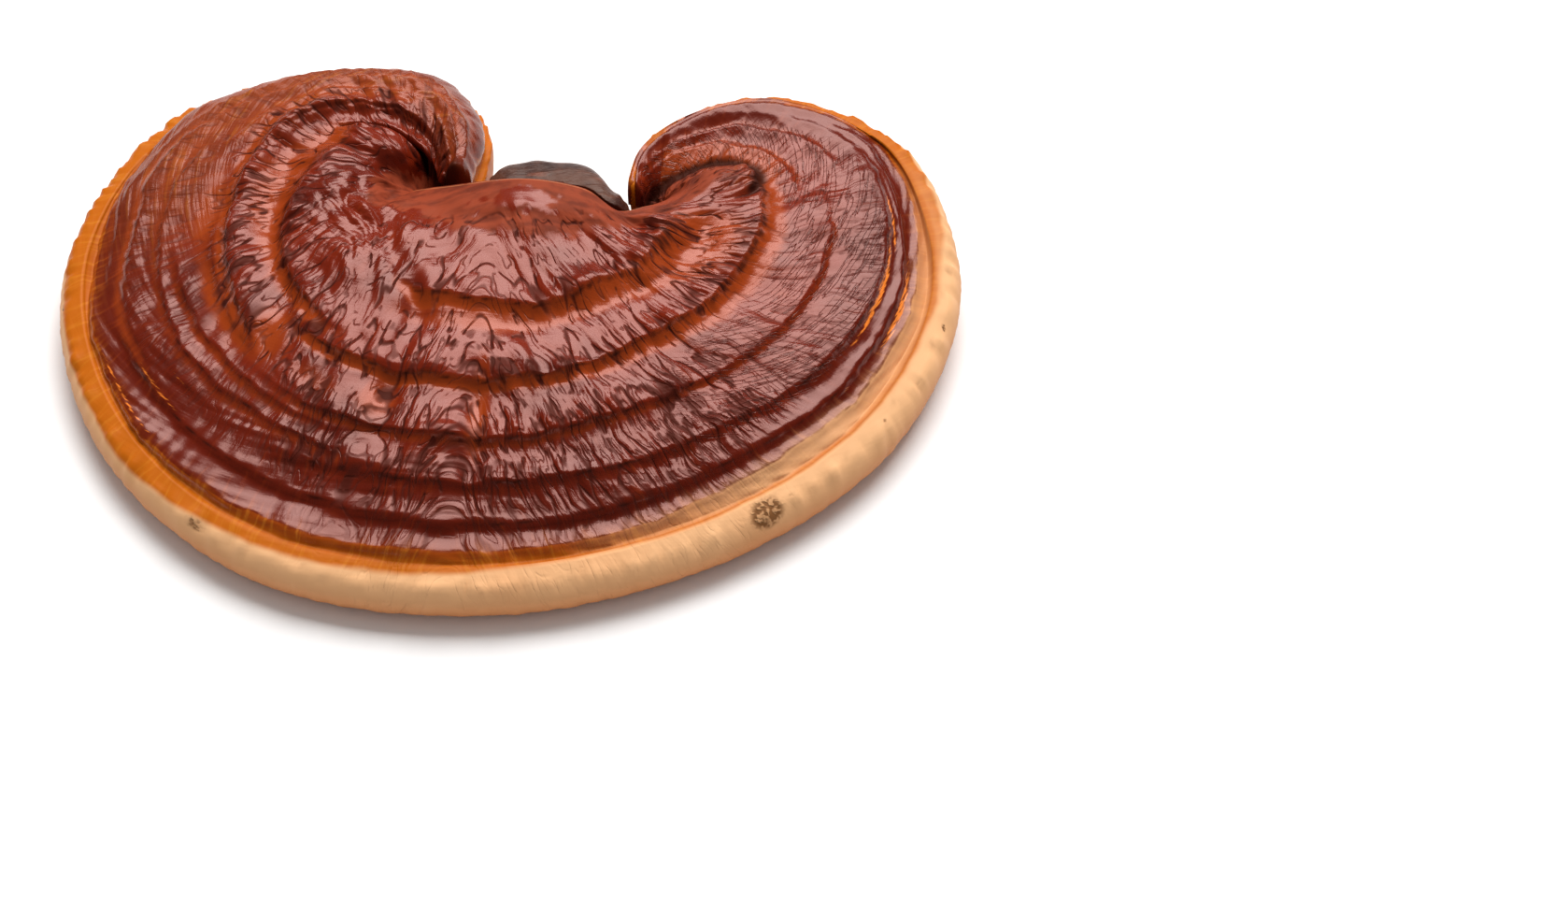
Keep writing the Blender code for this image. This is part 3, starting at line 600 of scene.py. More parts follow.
    def zones(self):
        """Bands of the cap from its lip to its underside: the crust up to 1, the ochre band up
        to 2, the rim up to 4 and the pore surface up to 5."""
        edge = Course(GROWTH_LINES["crust edge"], self.places, self.cap,
                      11 * list(GROWTH_LINES).index("crust edge")).across[:, None]
        band = np.maximum((self.cap.length - self.cap.rim)[:, None] - edge, 0.5 * MM)
        crust = np.where(self.across < edge, self.across / edge, 1 + (self.across - edge) / band)
        t = self.steps[None, :] + 0 * self.across
        return np.select([self.on["wall"], self.on["top"], self.on["edge"]],
                         [0.2 * t - 0.2, crust, 2 + 2 * t], 4 + t)

    def points(self):
        """The finished points in space, and all figures."""
        relief = self.settings.relief
        terraces, groove, shade = self.terraces()
        depth, dark = self.cuts()
        # Painted shade: the creases and the shoulders' edges darkened in colour
        dark = np.maximum(dark, shade)
        calm = 1 - smooth(0.94, 1.0, self.t)
        swells = self.patches(SWELLS, self.t, np.add) * MM
        top = terraces * calm - depth - self.valleys() * calm + self.wrinkles() + swells
        lower = along(self.place, RIM_DROP) * MM
        beyond = self.across - (self.cap.length - self.cap.rim)[:, None]
        bulge = BAND_BULGE * bell(beyond + 1.2 * MM, 4.0 * MM)
        top = top + bulge
        top = top + lower * (0.5 * bell(self.t - 0.82, 0.10) - smooth(0.88, 1.0, self.t))
        rim = self.rim_relief() - lower * (1 - smooth(0.0, 0.6, self.steps[None, :]))
        rim = rim + bulge * (1 - smooth(0.25, 0.50, self.steps[None, :]))
        offset = relief * np.select([self.on["top"], self.on["edge"]], [top, rim], 0.0)
        run = np.gradient(self.across, axis=1), np.gradient(self.height, axis=1)
        size = np.hypot(*run)
        across = self.across - offset * run[1] / size
        height = np.maximum(self.height + offset * run[0] / size, 0.0)
        groove = np.maximum(groove, self.patches(ORANGE_PATCHES, self.t))
        self.figures["groove"] = groove * self.on["top"]
        self.figures["dark"] = dark * self.on["top"]
        zone = self.zones()
        self.figures["zone"] = zone
        self.figures["cream"] = zone - along(self.place, CREAM_START)
        neck = along(self.place, NECK_END)
        ragged = self.t + 0.016 * noise(self.place / 0.006, self.across / 0.003, 63)
        neck = 1 - smooth(0.92 * neck, 1.08 * neck, ragged)
        hump = bell(self.place - 0.288, 0.018) * bell(self.t - 0.046, 0.028)
        self.figures["neck"] = neck * (1 - smooth(0.34, 0.46, hump + 0.40 * noise(
            self.place / 0.006, self.across / 0.0022, 65)))
        self.figures["pale"] = along(self.place, PALE_BAND)
        self.figures["hollow"] = self.patches(HOLLOW_SHADES, self.t)
        self.figures["velvet"] = self.patches(VELVET, self.t)
        self.figures["lines"] = (smooth(0.325, 0.350, self.place) * smooth(0.44, 0.50, self.t)
                                 * (1 - smooth(0.72, 0.75, self.t)))
        self.figures["stain"] = self.patches(STAINS, zone)
        self.figures["glow"] = self.patches(PAINTED_GLINT_STREAKS, self.t)
        return self.rounded_tips(self.cap.points(across, height))

    def rounded_tips(self, points):
        """The points, with the sections thinned that are closer to a lobe's tip than its
        rounding."""
        distance = np.minimum(self.places, TOTAL - self.places)
        share = np.clip(1 - distance / TIP_ROUND, 0, 1)
        thickness = np.maximum(np.sqrt(1 - share ** 2), 0.12)
        length = 1 - 0.12 * (1 - thickness)
        scale = np.stack([length, length, thickness], axis=1)[:, None, :]
        middle = points.mean(axis=1, keepdims=True)
        return middle + (points - middle) * scale

    def growth_map(self):
        """For each point the place along the margin and the distance over the surface, in
        metres, with one more row where the map closes on itself."""
        steps = np.hypot(np.diff(self.across, axis=1), np.diff(self.height, axis=1))
        first = np.zeros((len(self.places), 1))
        run = np.concatenate([first, np.cumsum(steps, axis=1)], axis=1)
        run = np.concatenate([run, run[:, -1:] + 2 * MM], axis=1)
        return np.stack([self.places[:, None] + 0 * run, run], axis=2)


def tube(columns, rows):
    """A closed cylinder of that many rings of that many points each, and the ring and the place
    on it of each of its points."""
    mesh = bmesh.new()
    bmesh.ops.create_cone(mesh, cap_ends=True, segments=rows, radius1=1, radius2=1, depth=1)
    sides = [edge for edge in mesh.edges if abs(edge.verts[0].co.z - edge.verts[1].co.z) > 0.5]
    bmesh.ops.subdivide_edges(mesh, edges=sides, cuts=columns - 2)
    x, y, z = np.array([vert.co for vert in mesh.verts]).T
    column = np.rint((z + 0.5) * (columns - 1)).astype(int)
    row = np.rint(np.arctan2(y, x) / (2 * math.pi) * rows).astype(int) % rows
    return mesh, column, row


def face_outwards(mesh):
    """Turns every face of a closed mesh outwards, and stops if the mesh encloses nothing."""
    bmesh.ops.recalc_face_normals(mesh, faces=mesh.faces[:])
    if mesh.calc_volume(signed=True) < 0:
        bmesh.ops.reverse_faces(mesh, faces=mesh.faces[:])
    if mesh.calc_volume(signed=True) <= 0:
        raise RuntimeError("the mesh encloses no volume")


def cap_data(settings):
    """The cap's mesh, with its figures as attributes and its growth map as a UV map."""
    cap = FinishedCap(settings)
    columns, rows = cap.across.shape
    mesh, column, row = tube(columns, rows)
    positions = cap.points()[column, row]
    for vert, position in zip(mesh.verts, positions):
        vert.co = position
    face_outwards(mesh)
    data = bpy.data.meshes.new("cap")
    mesh.to_mesh(data)
    mesh.free()
    for name, values in cap.figures.items():
        figure = data.attributes.new(name, "FLOAT", "POINT")
        figure.data.foreach_set("value", values[column, row].astype(np.float32))
    corners = np.empty(len(data.loops), np.int32)
    data.loops.foreach_get("vertex_index", corners)
    starts = np.empty(len(data.polygons), np.int32)
    data.polygons.foreach_get("loop_start", starts)
    face = np.searchsorted(starts, np.arange(len(corners)), "right") - 1
    last_row = np.zeros(len(starts), bool)
    np.logical_or.at(last_row, face, row[corners] == rows - 1)
    map_row = np.where(last_row[face] & (row[corners] == 0), rows, row[corners])
    growth = data.uv_layers.new(name="growth")
    places = cap.growth_map()[column[corners], map_row]
    growth.data.foreach_set("uv", places.astype(np.float32).ravel())
    return data


STEM_LEFT = -0.0055
STEM_RIGHT = 0.0248
STEM_DEPTH = 0.0105
STEM_FLARE = 0.0020
STEM_STRAIGHT = 0.6         # share of its height up to which the stem keeps its width
STEM_SQUARE = 3.4           # how square its shoulders are: 2 is an ellipse
STEM_CROWN = ((-6, 26.2), (-2, 26.0), (3, 25.4), (9, 25.8), (14, 26.4), (19, 27.4), (22, 27.6),
              (25, 26.0))   # height of its top in mm, at places from left to right in mm
GAP = 0.0004
STEM_SIDES = 180
STEM_ROWS = 70


def lip_y(x):
    """Where the cap's lip over the stem lies at x."""
    names = list(SECTIONS)
    places = np.linspace(KNOTS[names.index("left front")], KNOTS[names.index("right side")], 400)
    lip_x = section_curve(lambda row: row[0][0])(places)
    lip_y = section_curve(lambda row: row[0][1])(places)
    return np.interp(x, lip_x, lip_y)


def stem_points(angle, share):
    """Points of the stem at these shares of its height: flat along the lip, a half ellipse at
    the back."""
    above = np.clip((share - STEM_STRAIGHT) / (1 - STEM_STRAIGHT), 0, 0.9999)
    narrowing = (1 - above ** STEM_SQUARE) ** (1 / STEM_SQUARE)
    flare = STEM_FLARE * np.maximum(1 - share / STEM_STRAIGHT, 0)
    half = (STEM_RIGHT - STEM_LEFT) / 2 * narrowing
    x = (STEM_LEFT + STEM_RIGHT) / 2 + half * np.cos(angle)
    height = share * along(x, STEM_CROWN) * MM
    outward = np.maximum(np.sin(angle), 0) ** 0.8
    back = (STEM_DEPTH + flare) * narrowing * outward
    bark = 0.35 * noise(x / 0.007, height / 0.0016 + back / 0.002, 2)
    bark = bark + 0.5 * noise(x / 0.009, height / 0.005 + back / 0.005, 9)
    back = back + bark * MM * np.minimum(outward * 3, 1.0)
    return np.stack([x, lip_y(x) + GAP + back, height], axis=1)


def stem_data():
    """The stem: a tube whose points are moved into place."""
    mesh, row, side = tube(STEM_ROWS, STEM_SIDES)
    share = np.sin(row / (STEM_ROWS - 1) * math.pi / 2)
    positions = stem_points(2 * math.pi * side / STEM_SIDES, share)
    for vert, position in zip(mesh.verts, positions):
        vert.co = position
    face_outwards(mesh)
    data = bpy.data.meshes.new("stem")
    mesh.to_mesh(data)
    mesh.free()
    return data


class Field:
    """A node's output, with operators that add Math nodes."""

    def __init__(self, paint, socket):
        self.paint = paint
        self.socket = socket

    def math(self, operation, *values):
        """A Math node on these values."""
        return self.paint.node("ShaderNodeMath", {"operation": operation},
                               dict(enumerate(values)))

    def __add__(self, other):
        return self.math("ADD", self, other)

    def __radd__(self, other):
        return self.math("ADD", other, self)

    def __sub__(self, other):
        return self.math("SUBTRACT", self, other)

    def __rsub__(self, other):
        return self.math("SUBTRACT", other, self)

    def __mul__(self, other):
        return self.math("MULTIPLY", self, other)

    def __rmul__(self, other):
        return self.math("MULTIPLY", other, self)

    def __truediv__(self, other):
        return self.math("DIVIDE", self, other)

    def __pow__(self, other):
        return self.math("POWER", self, other)


class Paint:
    """A material with a Principled shader, and the nodes that lead to it."""

    def __init__(self, name):
        self.material = bpy.data.materials.new(name)
        self.material.use_nodes = True
        self.tree = self.material.node_tree
        self.shader = self.tree.nodes["Principled BSDF"]
        self.output = self.tree.nodes["Material Output"]

    def put(self, socket, value):
        """Links a field to a socket, or sets a plain value on it."""
        if isinstance(value, Field):
            self.tree.links.new(value.socket, socket)
        else:
            socket.default_value = value

    def node(self, kind, settings, values, output=0):
        """A node of that kind: its settings are set first, then its sockets' values or links."""
        made = self.tree.nodes.new(kind)
        for name, value in settings.items():
            if name == "stops":
                for stop, (position, colour) in zip(made.color_ramp.elements, value):
                    stop.position = position
                    stop.color = colour
                for position, colour in value[len(made.color_ramp.elements):]:
                    made.color_ramp.elements.new(position).color = colour
            else:
                setattr(made, name, value)
        for name, value in values.items():
            self.put(made.inputs[name], value)
        return Field(self, made.outputs[output])

    def attribute(self, name):
        """A figure that the mesh carries."""
        return self.node("ShaderNodeAttribute", {"attribute_name": name}, {}, "Fac")

    def blend(self, a, b, share):
        """A colour between a (share 0) and b (share 1)."""
        return self.node("ShaderNodeMix", {"data_type": "RGBA"}, {0: share, 6: a, 7: b}, 2)

    def rise(self, x, low, high):
        """0 below low, 1 above high, smooth between them."""
        return self.node("ShaderNodeMapRange", {"interpolation_type": "SMOOTHSTEP"},
                         {0: x, 1: low, 2: high, 3: 0.0, 4: 1.0})

    def fbm(self, vector, scale, detail=3.0, roughness=0.55, distortion=0.0):
        """Fractal noise from 0 to 1."""
        return self.node("ShaderNodeTexNoise", {},
                         {"Vector": vector, "Scale": scale, "Detail": detail,
                          "Roughness": roughness, "Distortion": distortion})

    def parts(self, vector):
        """The first two numbers of a vector."""
        split = self.tree.nodes.new("ShaderNodeSeparateXYZ")
        self.put(split.inputs[0], vector)
        return Field(self, split.outputs[0]), Field(self, split.outputs[1])

    def combine(self, x, y, z):
        """A vector of three numbers."""
        return self.node("ShaderNodeCombineXYZ", {}, {0: x, 1: y, 2: z})

    def fan(self, growth, spread, wave, length, seed, detail=2.0, slant=0.0):
        """Noise whose waves keep their width where the sections fan out."""
        place, across = growth
        level = self.rising_level(spread)
        low = level.math("FLOOR", level)
        share = self.rise(level - low, 0.3, 0.7)
        parts = []
        for step in (0, 1):
            scale = low.math("POWER", 2.0, low + step)
            at = self.combine((place * scale - across * slant) * (1 / wave), across * (1 / length),
                              (low + step) * 5.3 + seed)
            parts.append(self.fbm(at, 1.0, detail))
        return parts[0] + (parts[1] - parts[0]) * share

    def rising_level(self, spread):
        """The spread as a power of two."""
        return spread.math("LOGARITHM", spread.math("MAXIMUM", spread, 0.01), 2.0)


def crust_material(colours):
    """The cap's skin: lacquered crust, ochre band, cream rim and pore surface in one material."""
    paint = Paint("lacquered crust")
    uv = paint.node("ShaderNodeUVMap", {"uv_map": "growth"}, {})
    place, across = paint.parts(uv)
    space = paint.node("ShaderNodeTexCoord", {}, {}, "Object")
    groove = paint.attribute("groove")
    dark = paint.attribute("dark")
    zone = paint.attribute("zone")
    cream = paint.attribute("cream")
    spread = paint.attribute("spread")
    crumple = paint.attribute("crumple")

    broad = paint.fbm(space, 45.0, 3.0)
    warp = (paint.fbm(space, 120.0, 1.0) - 0.5) * 0.0035 / spread
    growth = (place + warp, across)
    slant = paint.rise(place, 0.25, 0.28) * 0.45
    ribs = paint.fan(growth, spread, 0.0042, 0.0170, 3.0, 1.0, slant)
    ribs = ribs.math("ABSOLUTE", ribs * 2 - 1)
    radial = paint.fan(growth, spread, 0.0013, 0.0090, 43.0, 2.0, slant)
    strands = paint.fan(growth, spread, 0.0021, 0.0062, 83.0, 1.0, slant)
    strands = strands.math("ABSOLUTE", strands * 2 - 1)
    grain = paint.fbm(space, 2200.0, 2.0)
    broken = paint.fbm(space, 330.0, 1.0)
    shoulder = paint.attribute("shoulder")
    fold = paint.attribute("fold")
    hollow = paint.rise(paint.attribute("hollow"), 0.25, 0.80)
    velvet = paint.attribute("velvet")
    lines = paint.attribute("lines")
    neck = paint.attribute("neck")
    stain = paint.attribute("stain")
    glow = paint.attribute("glow")

    rough_skin = paint.rise(crumple, 0.2, 0.7)
    gash = 1 - paint.rise(ribs, 0.005, 0.045 + shoulder * 0.10)
    gash = gash * paint.rise(broken + shoulder * 0.25, 0.40, 0.55)
    strand = (1 - paint.rise(strands, 0.01, 0.08)) * paint.rise(broken + shoulder * 0.3, 0.46, 0.60)
    cut = (gash + strand * 0.6) * rough_skin
    # Painted shade: mask of the near-black in the creases and along the shoulders' edges
    crack = paint.rise(dark, 0.2, 0.9)
    streaks = paint.fbm(paint.combine(place * 60.0, across * 800.0, 0.0), 1.0, 2.0)
    ring = (1 - paint.rise(streaks.math("ABSOLUTE", streaks - 0.5), 0.0, 0.03)) * lines
    pleats = paint.fbm(paint.combine(place * 70.0, (across + warp * 0.3) * 520.0, 9.0), 1.0, 2.0)
    bubbles = paint.rise(paint.fbm(space, 900.0, 1.0), 0.40, 0.58)

    crust = paint.blend(colours.crust, colours.crust_dark, paint.rise(broad, 0.45, 0.70))
    crust = paint.blend(crust, colours.crust_dark, paint.rise(zone, 0.66, 0.90) * 0.75)
    crust = paint.blend(crust, colours.groove, paint.rise(radial, 0.52, 0.75) * 0.22)
    orange = paint.rise(groove + (radial - 0.5) * 0.35, 0.15, 0.8)
    crust = paint.blend(crust, colours.groove, orange)
    crust = paint.blend(crust, colours.velvet, velvet * (0.55 + radial * 0.4))
    threads = paint.rise(streaks, 0.52, 0.70) * velvet
    crust = paint.blend(crust, colours.ochre_light, threads * 0.30)
    mottle = paint.fbm(paint.combine(place * 45.0, across * 260.0, 2.0), 1.0, 3.0)
    skin_tone = paint.blend(colours.neck, colours.neck_dark, paint.rise(mottle, 0.40, 0.68))
    crust = paint.blend(crust, skin_tone, neck)
    # Painted highlight on the lip over the stem: its thin edge lightened towards the pale rim colour,
    # partly the cap's pale growing edge, partly light caught on its rounding
    lip = (1 - paint.rise(zone.math("ABSOLUTE", zone), 0.004, 0.014)) * neck
    crust = paint.blend(crust, colours.cream_shade, lip * 0.45)
    # Wrinkle lines: partly the crust's own darker tint, partly painted shade in the narrow gashes
    crust = paint.blend(crust, colours.cut, cut * 0.8)
    # Painted shade: near-black in the cracks, the creases and along the shoulders' edges
    crust = paint.blend(crust, colours.crack, crack * 0.9)
    # Painted shade in the fine ring grooves of the right plateau
    crust = paint.blend(crust, colours.crack, ring * 0.5)
    # Painted shade: the hollows, such as the left pit, near-black
    crust = paint.blend(crust, colours.crack, hollow * 0.85)
    # Painted glints: thin broken streaks of bright orange reflection painted into the colour
    glints = paint.fbm(paint.combine(place * 260.0, across * 2600.0, 4.0), 1.0, 2.0)
    painted_glint_mask = paint.rise(glow * (glints * 2.4 - 0.5), 0.30, 0.60)
    crust = paint.blend(crust, colours.glow, painted_glint_mask)
    edge = zone + (radial - 0.5) * 0.05 + (broad - 0.5) * 0.06
    to_ochre = paint.rise(edge, 0.96, 1.08)
    to_cream = paint.rise(cream + (broad - 0.5) * 0.4, -0.06, 0.10)
    ochre = paint.blend(colours.ochre_dark, colours.ochre, paint.rise(zone, 1.1, 2.2))
    ochre = paint.blend(ochre, colours.ochre_light, paint.rise(radial, 0.45, 0.72) * 0.4)
    thread = 1 - paint.rise(zone.math("ABSOLUTE", zone - 2.0 + (broad - 0.5) * 0.3), 0.03, 0.16)
    pale = paint.attribute("pale") * (1 - thread * 0.8)
    ochre = paint.blend(ochre, colours.cream, pale * (0.55 + broad * 0.6))
    # Painted shade: the rim darker from below its crest down its lower side
    rim = paint.blend(colours.cream, colours.cream_shade, paint.rise(zone, 2.4, 3.4))
    rim = paint.blend(rim, colours.ochre, paint.rise(broad, 0.52, 0.75) * 0.15)
    # Painted shade: the creases above the rim's crest darkened in the stains' brown
    rim = paint.blend(rim, colours.stain, paint.attribute("crease") * 0.6)
    colour = paint.blend(crust, ochre, to_ochre)
    colour = paint.blend(colour, rim, to_cream)
    colour = paint.blend(colour, colours.stain, paint.rise(stain, 0.15, 0.55) * (bubbles * 0.6 + 0.35))
    colour = paint.blend(colour, colours.pores, paint.rise(zone, 3.6, 4.1))

    height = ribs * (0.00035 + shoulder * 0.0004) + radial * 0.00020 + strands * 0.00014
    height = height * rough_skin * (1 - orange * 0.6) - cut * 0.00010
    height = height + pleats * fold * 0.0006 - ring * 0.00008 + streaks * 0.00006
    height = height + grain * 0.0000100 + velvet * streaks * 0.0004
    height = height - bubbles * paint.rise(stain, 0.15, 0.55) * 0.0002
    bump = paint.node("ShaderNodeBump", {}, {"Strength": 1.0, "Distance": 1.0, "Height": height})
    dull = neck.math("MAXIMUM", neck, paint.rise(zone, 1.2, 1.6))
    dull = dull.math("MAXIMUM", dull, crack)
    dull = dull.math("MAXIMUM", dull, cut * 0.9)
    dull = dull.math("MAXIMUM", dull, hollow)
    dull = dull.math("MAXIMUM", dull, velvet * 0.8)
    skin = paint.node("ShaderNodeBsdfPrincipled", {}, {
        "Base Color": colour, "Normal": bump, "IOR": 1.45, "Specular IOR Level": 0.15,
        "Specular Tint": colours.sheen,
        "Roughness": 0.62 - to_ochre * 0.20 + to_cream * 0.10})
    paint.put(paint.shader.inputs["Base Color"], colour)
    paint.put(paint.shader.inputs["Roughness"], 0.25 + cut * 0.25)
    paint.put(paint.shader.inputs["Normal"], bump)
    paint.put(paint.shader.inputs["IOR"], 1.52)
    paint.put(paint.shader.inputs["Specular Tint"], colours.gloss)
    lacquer = Field(paint, paint.shader.outputs[0])
    mixed = paint.node("ShaderNodeMixShader", {}, {0: dull, 1: lacquer, 2: skin})
    paint.put(paint.output.inputs["Surface"], mixed)
    return paint.material


def stem_material(colours):
    """The stem's dark, streaked crust."""
    paint = Paint("stem crust")
    space = paint.node("ShaderNodeTexCoord", {}, {}, "Object")
    stretched = paint.node("ShaderNodeMapping", {}, {"Vector": space, "Scale": (0.22, 1.0, 1.0)})
    streaks = paint.fbm(stretched, 520.0, 4.0, 0.6)
    broad = paint.fbm(space, 110.0, 3.0)
    colour = paint.blend(colours.crack, colours.stem, paint.rise(broad + streaks * 0.5, 0.5, 0.9))
    colour = paint.blend(colour, colours.velvet, paint.rise(streaks, 0.55, 0.75) * 0.35)
    bump = paint.node("ShaderNodeBump", {}, {"Strength": 1.0, "Distance": 1.0,
                                             "Height": streaks * 0.0005})
    paint.put(paint.shader.inputs["Base Color"], colour)
    paint.put(paint.shader.inputs["Roughness"], 0.26 + broad * 0.24)
    paint.put(paint.shader.inputs["Specular IOR Level"], 0.28)
    paint.put(paint.shader.inputs["Normal"], bump)
    paint.put(paint.shader.inputs["Specular Tint"], colours.stem_gloss)
    return paint.material


def floor_material(colour):
    """A plain matte floor."""
    paint = Paint("pale floor")
    paint.put(paint.shader.inputs["Base Color"], colour)
    paint.put(paint.shader.inputs["Roughness"], 0.9)
    paint.put(paint.shader.inputs["Specular IOR Level"], 0.1)
    return paint.material


def add_piece(name, data, finish, body, node):
    """A shown piece: its object, its finish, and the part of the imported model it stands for."""
    old = bpy.data.objects.get(name + "_finished")
    if old:
        bpy.data.objects.remove(old, do_unlink=True)
    data.shade_smooth()
    data.materials.append(finish)
    piece = bpy.data.objects.new(name + "_finished", data)
    bpy.context.scene.collection.objects.link(piece)
    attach(piece, body)
    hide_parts(node)
    return piece


def srgb(red, green, blue):
    """A linear colour from sRGB figures of 0 to 255, opaque."""
    parts = []
    for part in (red / 255, green / 255, blue / 255):
        parts.append(part / 12.92 if part <= 0.04045 else ((part + 0.055) / 1.055) ** 2.4)
    return (*parts, 1.0)


def colour_property(name, description, default):
    """A colour that a user would change."""
    return bpy.props.FloatVectorProperty(name=name, description=description, default=default,
                                         subtype="COLOR", size=4, min=0.0, max=1.0)


def length_property(name, description, default):
    """A length that a user would change."""
    return bpy.props.FloatProperty(name=name, description=description, default=default,
                                   min=0.0, unit="LENGTH", subtype="DISTANCE")


class MushroomRelief(bpy.types.PropertyGroup):
    """Sizes of the crust's relief."""
    relief: bpy.props.FloatProperty(
        name="Relief", description="Strength of all relief, as a factor", default=1.0, min=0.0)
    wrinkle_height: length_property(
        "Wrinkles", "Height of the radial wrinkles", 0.35 * MM)
    fold_height: length_property(
        "Folds", "Height of the folds left of the neck", 1.0 * MM)
    terrace_factor: bpy.props.FloatProperty(
        name="Terraces", description="Strength of the terraces, as a factor", default=1.6,
        min=0.0)
    ridge_height: length_property(
        "Fine rings", "Height of the fine rings near the margin", 0.20 * MM)
    rim_bumps: length_property(
        "Rim bumps", "Height of the bumps along the rim's crest", 0.60 * MM)


class MushroomColours(bpy.types.PropertyGroup):
    """Colours of the mushroom."""
    crust: colour_property("Crust", "Mahogany crust of the terraces", srgb(116, 32, 11))
    crust_dark: colour_property("Dark crust", "Darkest crust", srgb(88, 21, 8))
    groove: colour_property("Grooves", "Orange-brown crust in the grooves", srgb(148, 56, 14))
    neck: colour_property("Neck", "Matte crust by the stem", srgb(140, 58, 34))
    neck_dark: colour_property("Dark neck", "Darker patches by the stem", srgb(104, 40, 24))
    # Partly the crust's own darker tint in the wrinkles, partly painted shade in their narrow gashes
    cut: colour_property("Wrinkle lines", "Thin lines in the wrinkles", srgb(66, 15, 7))
    velvet: colour_property("Velvet", "Soft skin at the back of the lobes", srgb(150, 68, 34))
    # Painted shade: the near-black of cracks, creases, shoulders' edges, fine ring grooves and hollows;
    # on the stem also its darkest crust
    crack: colour_property("Cracks", "Cracks and deep creases", srgb(40, 9, 5))
    # Painted glints: the bright orange of reflections painted into the outer crust's colour
    glow: colour_property("Glow", "Streaks of bright orange in the outer crust",
                          srgb(240, 130, 44))
    # Real brown stains on the rim; the same brown also paints the shade in the creases above the rim's
    # crest
    stain: colour_property("Stains", "Brown marks on the rim", srgb(112, 70, 36))
    gloss: colour_property("Gloss", "Tint of the crust's reflections", (1.0, 0.62, 0.55, 1.0))
    sheen: colour_property("Sheen", "Tint of the matte skin's reflections", (1.0, 0.72, 0.52, 1.0))
    ochre: colour_property("Ochre", "Ochre band inside the rim", srgb(184, 94, 12))
    ochre_dark: colour_property("Dark ochre", "Ochre band beside the crust", srgb(150, 64, 8))
    ochre_light: colour_property("Pale ochre", "Pale streaks of the ochre band",
                                 srgb(206, 126, 36))
    cream: colour_property("Cream", "Cream growing rim", srgb(224, 172, 124))
    # Painted shade: the rim's lower side darker than its top; this pale colour also lightens the lip's
    # painted highlight
    cream_shade: colour_property("Rim underside", "Lower side of the rim", srgb(196, 128, 80))
    pores: colour_property("Pores", "Pore surface underneath", srgb(214, 180, 134))
    stem: colour_property("Stem", "Stem crust", srgb(84, 48, 34))
    stem_gloss: colour_property("Stem gloss", "Tint of the stem's reflections",
                                (1.0, 0.84, 0.74, 1.0))
    floor: colour_property("Floor", "Pale floor", (0.90, 0.90, 0.90, 1.0))


class MushroomStage(bpy.types.PropertyGroup):
    """Sizes and brightness of the stage."""
    key_power: bpy.props.FloatProperty(
        name="Softbox", description="Power of the large softbox", default=114.0,
        min=0.0, unit="POWER")
    distance: length_property("Light distance", "Distance of the lights", 2.6)
    floor_size: length_property("Floor size", "Side of the square floor", 12.0)


class MUSHROOM_OT_cap(bpy.types.Operator):
    """Model the cap with its terraces, folds, wrinkles and rim"""
    bl_idname = "mushroom.cap"
    bl_label = "Cap"

    def execute(self, context):
        data = cap_data(context.scene.mushroom_relief)
        finish = crust_material(context.scene.mushroom_colours)
        add_piece("cap", data, finish, "root", "cap")
        return {"FINISHED"}


class MUSHROOM_OT_stem(bpy.types.Operator):
    """Model the short side stem"""
    bl_idname = "mushroom.stem"
    bl_label = "Stem"

    def execute(self, context):
        finish = stem_material(context.scene.mushroom_colours)
        add_piece("stem", stem_data(), finish, "root", "stem")
        return {"FINISHED"}


def aimed_at(location, target):
    """The rotation of a light or a camera at location that looks at target."""
    return (Vector(target) - Vector(location)).to_track_quat("-Z", "Y").to_euler()


def add_light(name, azimuth, elevation, distance, width, height, power, colour):
    """A soft area light that looks at the mushroom from an azimuth, 0 at the back."""
    light = bpy.data.lights.new(name, "AREA")
    light.shape = "RECTANGLE"
    light.size = width
    light.size_y = height
    light.energy = power
    light.color = colour
    lamp = bpy.data.objects.new(name, light)
    a = math.radians(azimuth)
    e = math.radians(elevation)
    lamp.location = distance * Vector((math.sin(a) * math.cos(e), math.cos(a) * math.cos(e),
                                       math.sin(e)))
    lamp.rotation_euler = aimed_at(lamp.location, (0, 0, 0))
    lamp.visible_camera = False
    bpy.context.scene.collection.objects.link(lamp)
    return lamp


def surroundings():
    """A pale world to the camera and for soft light, and a dim one in reflections."""
    world = bpy.data.worlds.new("studio")
    world.use_nodes = True
    tree = world.node_tree
    background = tree.nodes["Background"]
    background.inputs["Color"].default_value = (1.0, 1.0, 1.0, 1.0)
    path = tree.nodes.new("ShaderNodeLightPath")
    strength = None
    for name, share in (("Is Camera Ray", 0.92), ("Is Diffuse Ray", 0.35)):
        part = tree.nodes.new("ShaderNodeMath")
        part.operation = "MULTIPLY_ADD"
        tree.links.new(path.outputs[name], part.inputs[0])
        part.inputs[1].default_value = share
        part.inputs[2].default_value = 0.02
        if strength:
            tree.links.new(strength.outputs[0], part.inputs[2])
        strength = part
    tree.links.new(strength.outputs[0], background.inputs["Strength"])
    bpy.context.scene.world = world


CAMERA_PLACE = (0.0549, -0.5120, 0.5394)
CAMERA_TILT = 42.0          # degrees from straight down
CAMERA_LENS = 85.0          # millimetres, on a sensor 36 mm wide


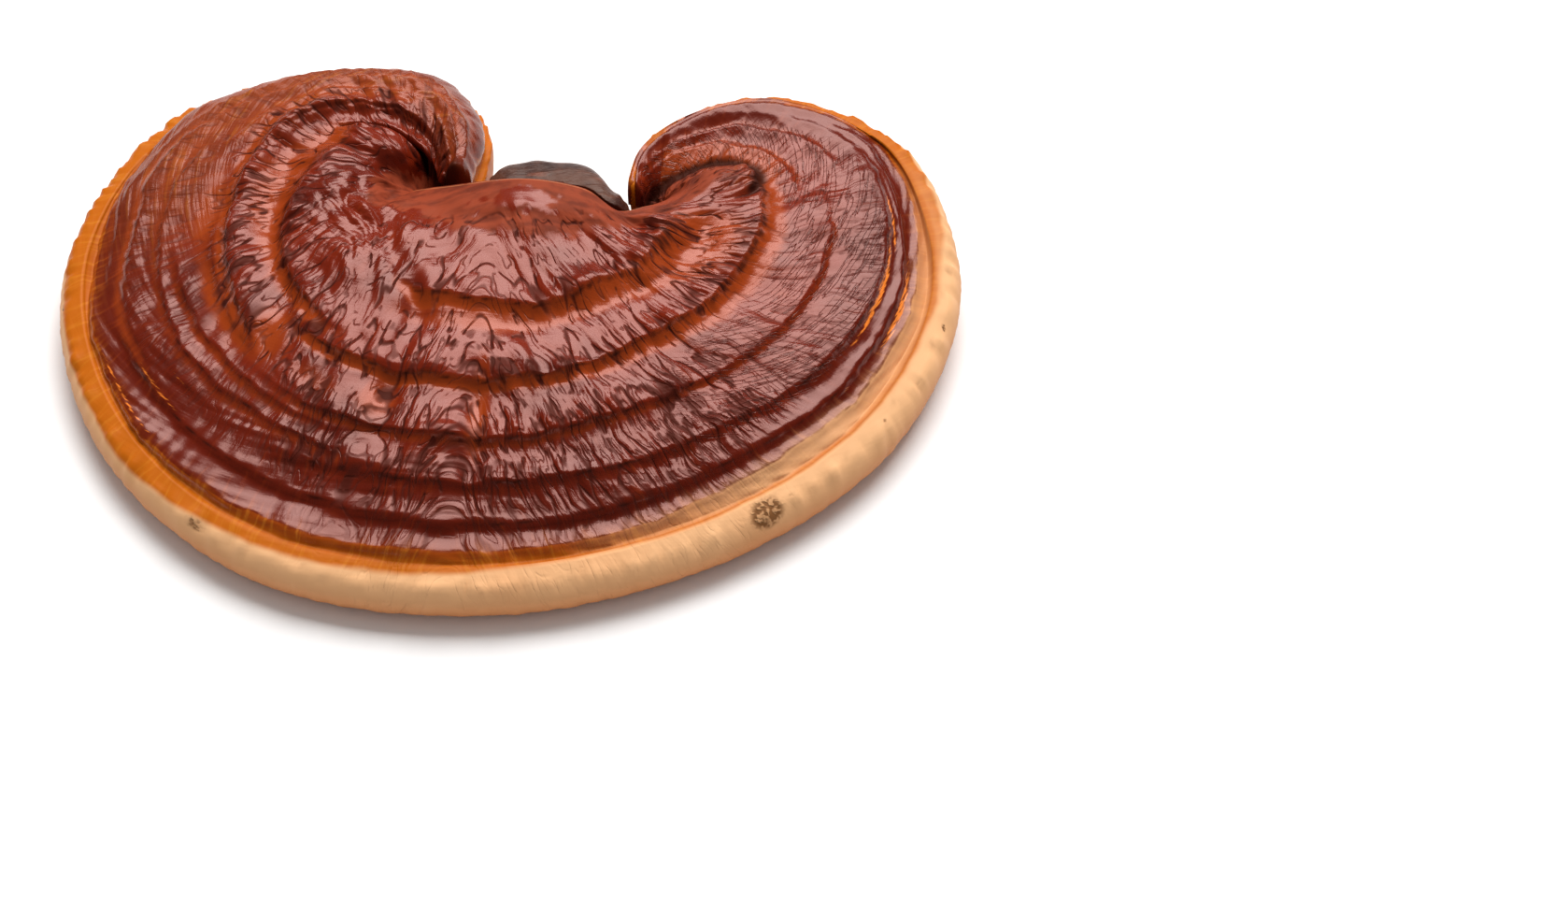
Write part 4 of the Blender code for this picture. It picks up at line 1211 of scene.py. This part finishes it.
class MUSHROOM_OT_stage(bpy.types.Operator):
    """Add the floor, the lights and the camera"""
    bl_idname = "mushroom.stage"
    bl_label = "Stage"

    def execute(self, context):
        stage = context.scene.mushroom_stage
        mesh = bmesh.new()
        bmesh.ops.create_grid(mesh, x_segments=1, y_segments=1, size=stage.floor_size / 2)
        data = bpy.data.meshes.new("floor")
        mesh.to_mesh(data)
        mesh.free()
        data.materials.append(floor_material(context.scene.mushroom_colours.floor))
        floor = bpy.data.objects.new("floor", data)
        context.scene.collection.objects.link(floor)
        add_light("softbox", 12, 55, stage.distance, 2.4, 2.1, stage.key_power,
                  (1.0, 0.98, 0.97))
        surroundings()
        camera = bpy.data.cameras.new("camera")
        camera.lens = CAMERA_LENS
        eye = bpy.data.objects.new("camera", camera)
        eye.location = CAMERA_PLACE
        eye.rotation_euler = (math.radians(CAMERA_TILT), 0, 0)
        context.scene.collection.objects.link(eye)
        context.scene.camera = eye
        context.scene.view_settings.view_transform = "Standard"
        return {"FINISHED"}


class VIEW3D_PT_mushroom(bpy.types.Panel):
    """The mushroom's operators and settings"""
    bl_label = "Reishi mushroom"
    bl_idname = "VIEW3D_PT_mushroom"
    bl_space_type = "VIEW_3D"
    bl_region_type = "UI"
    bl_category = "Mushroom"

    def draw(self, context):
        for name in ("mushroom.stage", "mushroom.cap", "mushroom.stem"):
            self.layout.operator(name)
        for group in ("mushroom_relief", "mushroom_colours", "mushroom_stage"):
            settings = getattr(context.scene, group)
            for name in settings.__annotations__:
                self.layout.prop(settings, name)


CLASSES = (MushroomRelief, MushroomColours, MushroomStage, MUSHROOM_OT_cap, MUSHROOM_OT_stem,
           MUSHROOM_OT_stage, VIEW3D_PT_mushroom)


def register():
    for item in CLASSES:
        bpy.utils.register_class(item)
    bpy.types.Scene.mushroom_relief = bpy.props.PointerProperty(type=MushroomRelief)
    bpy.types.Scene.mushroom_colours = bpy.props.PointerProperty(type=MushroomColours)
    bpy.types.Scene.mushroom_stage = bpy.props.PointerProperty(type=MushroomStage)


def unregister():
    del bpy.types.Scene.mushroom_stage
    del bpy.types.Scene.mushroom_colours
    del bpy.types.Scene.mushroom_relief
    for item in reversed(CLASSES):
        bpy.utils.unregister_class(item)


def main():
    register()
    bpy.ops.mushroom.stage()
    bpy.ops.mushroom.cap()
    bpy.ops.mushroom.stem()


if __name__ == "__main__":
    main()
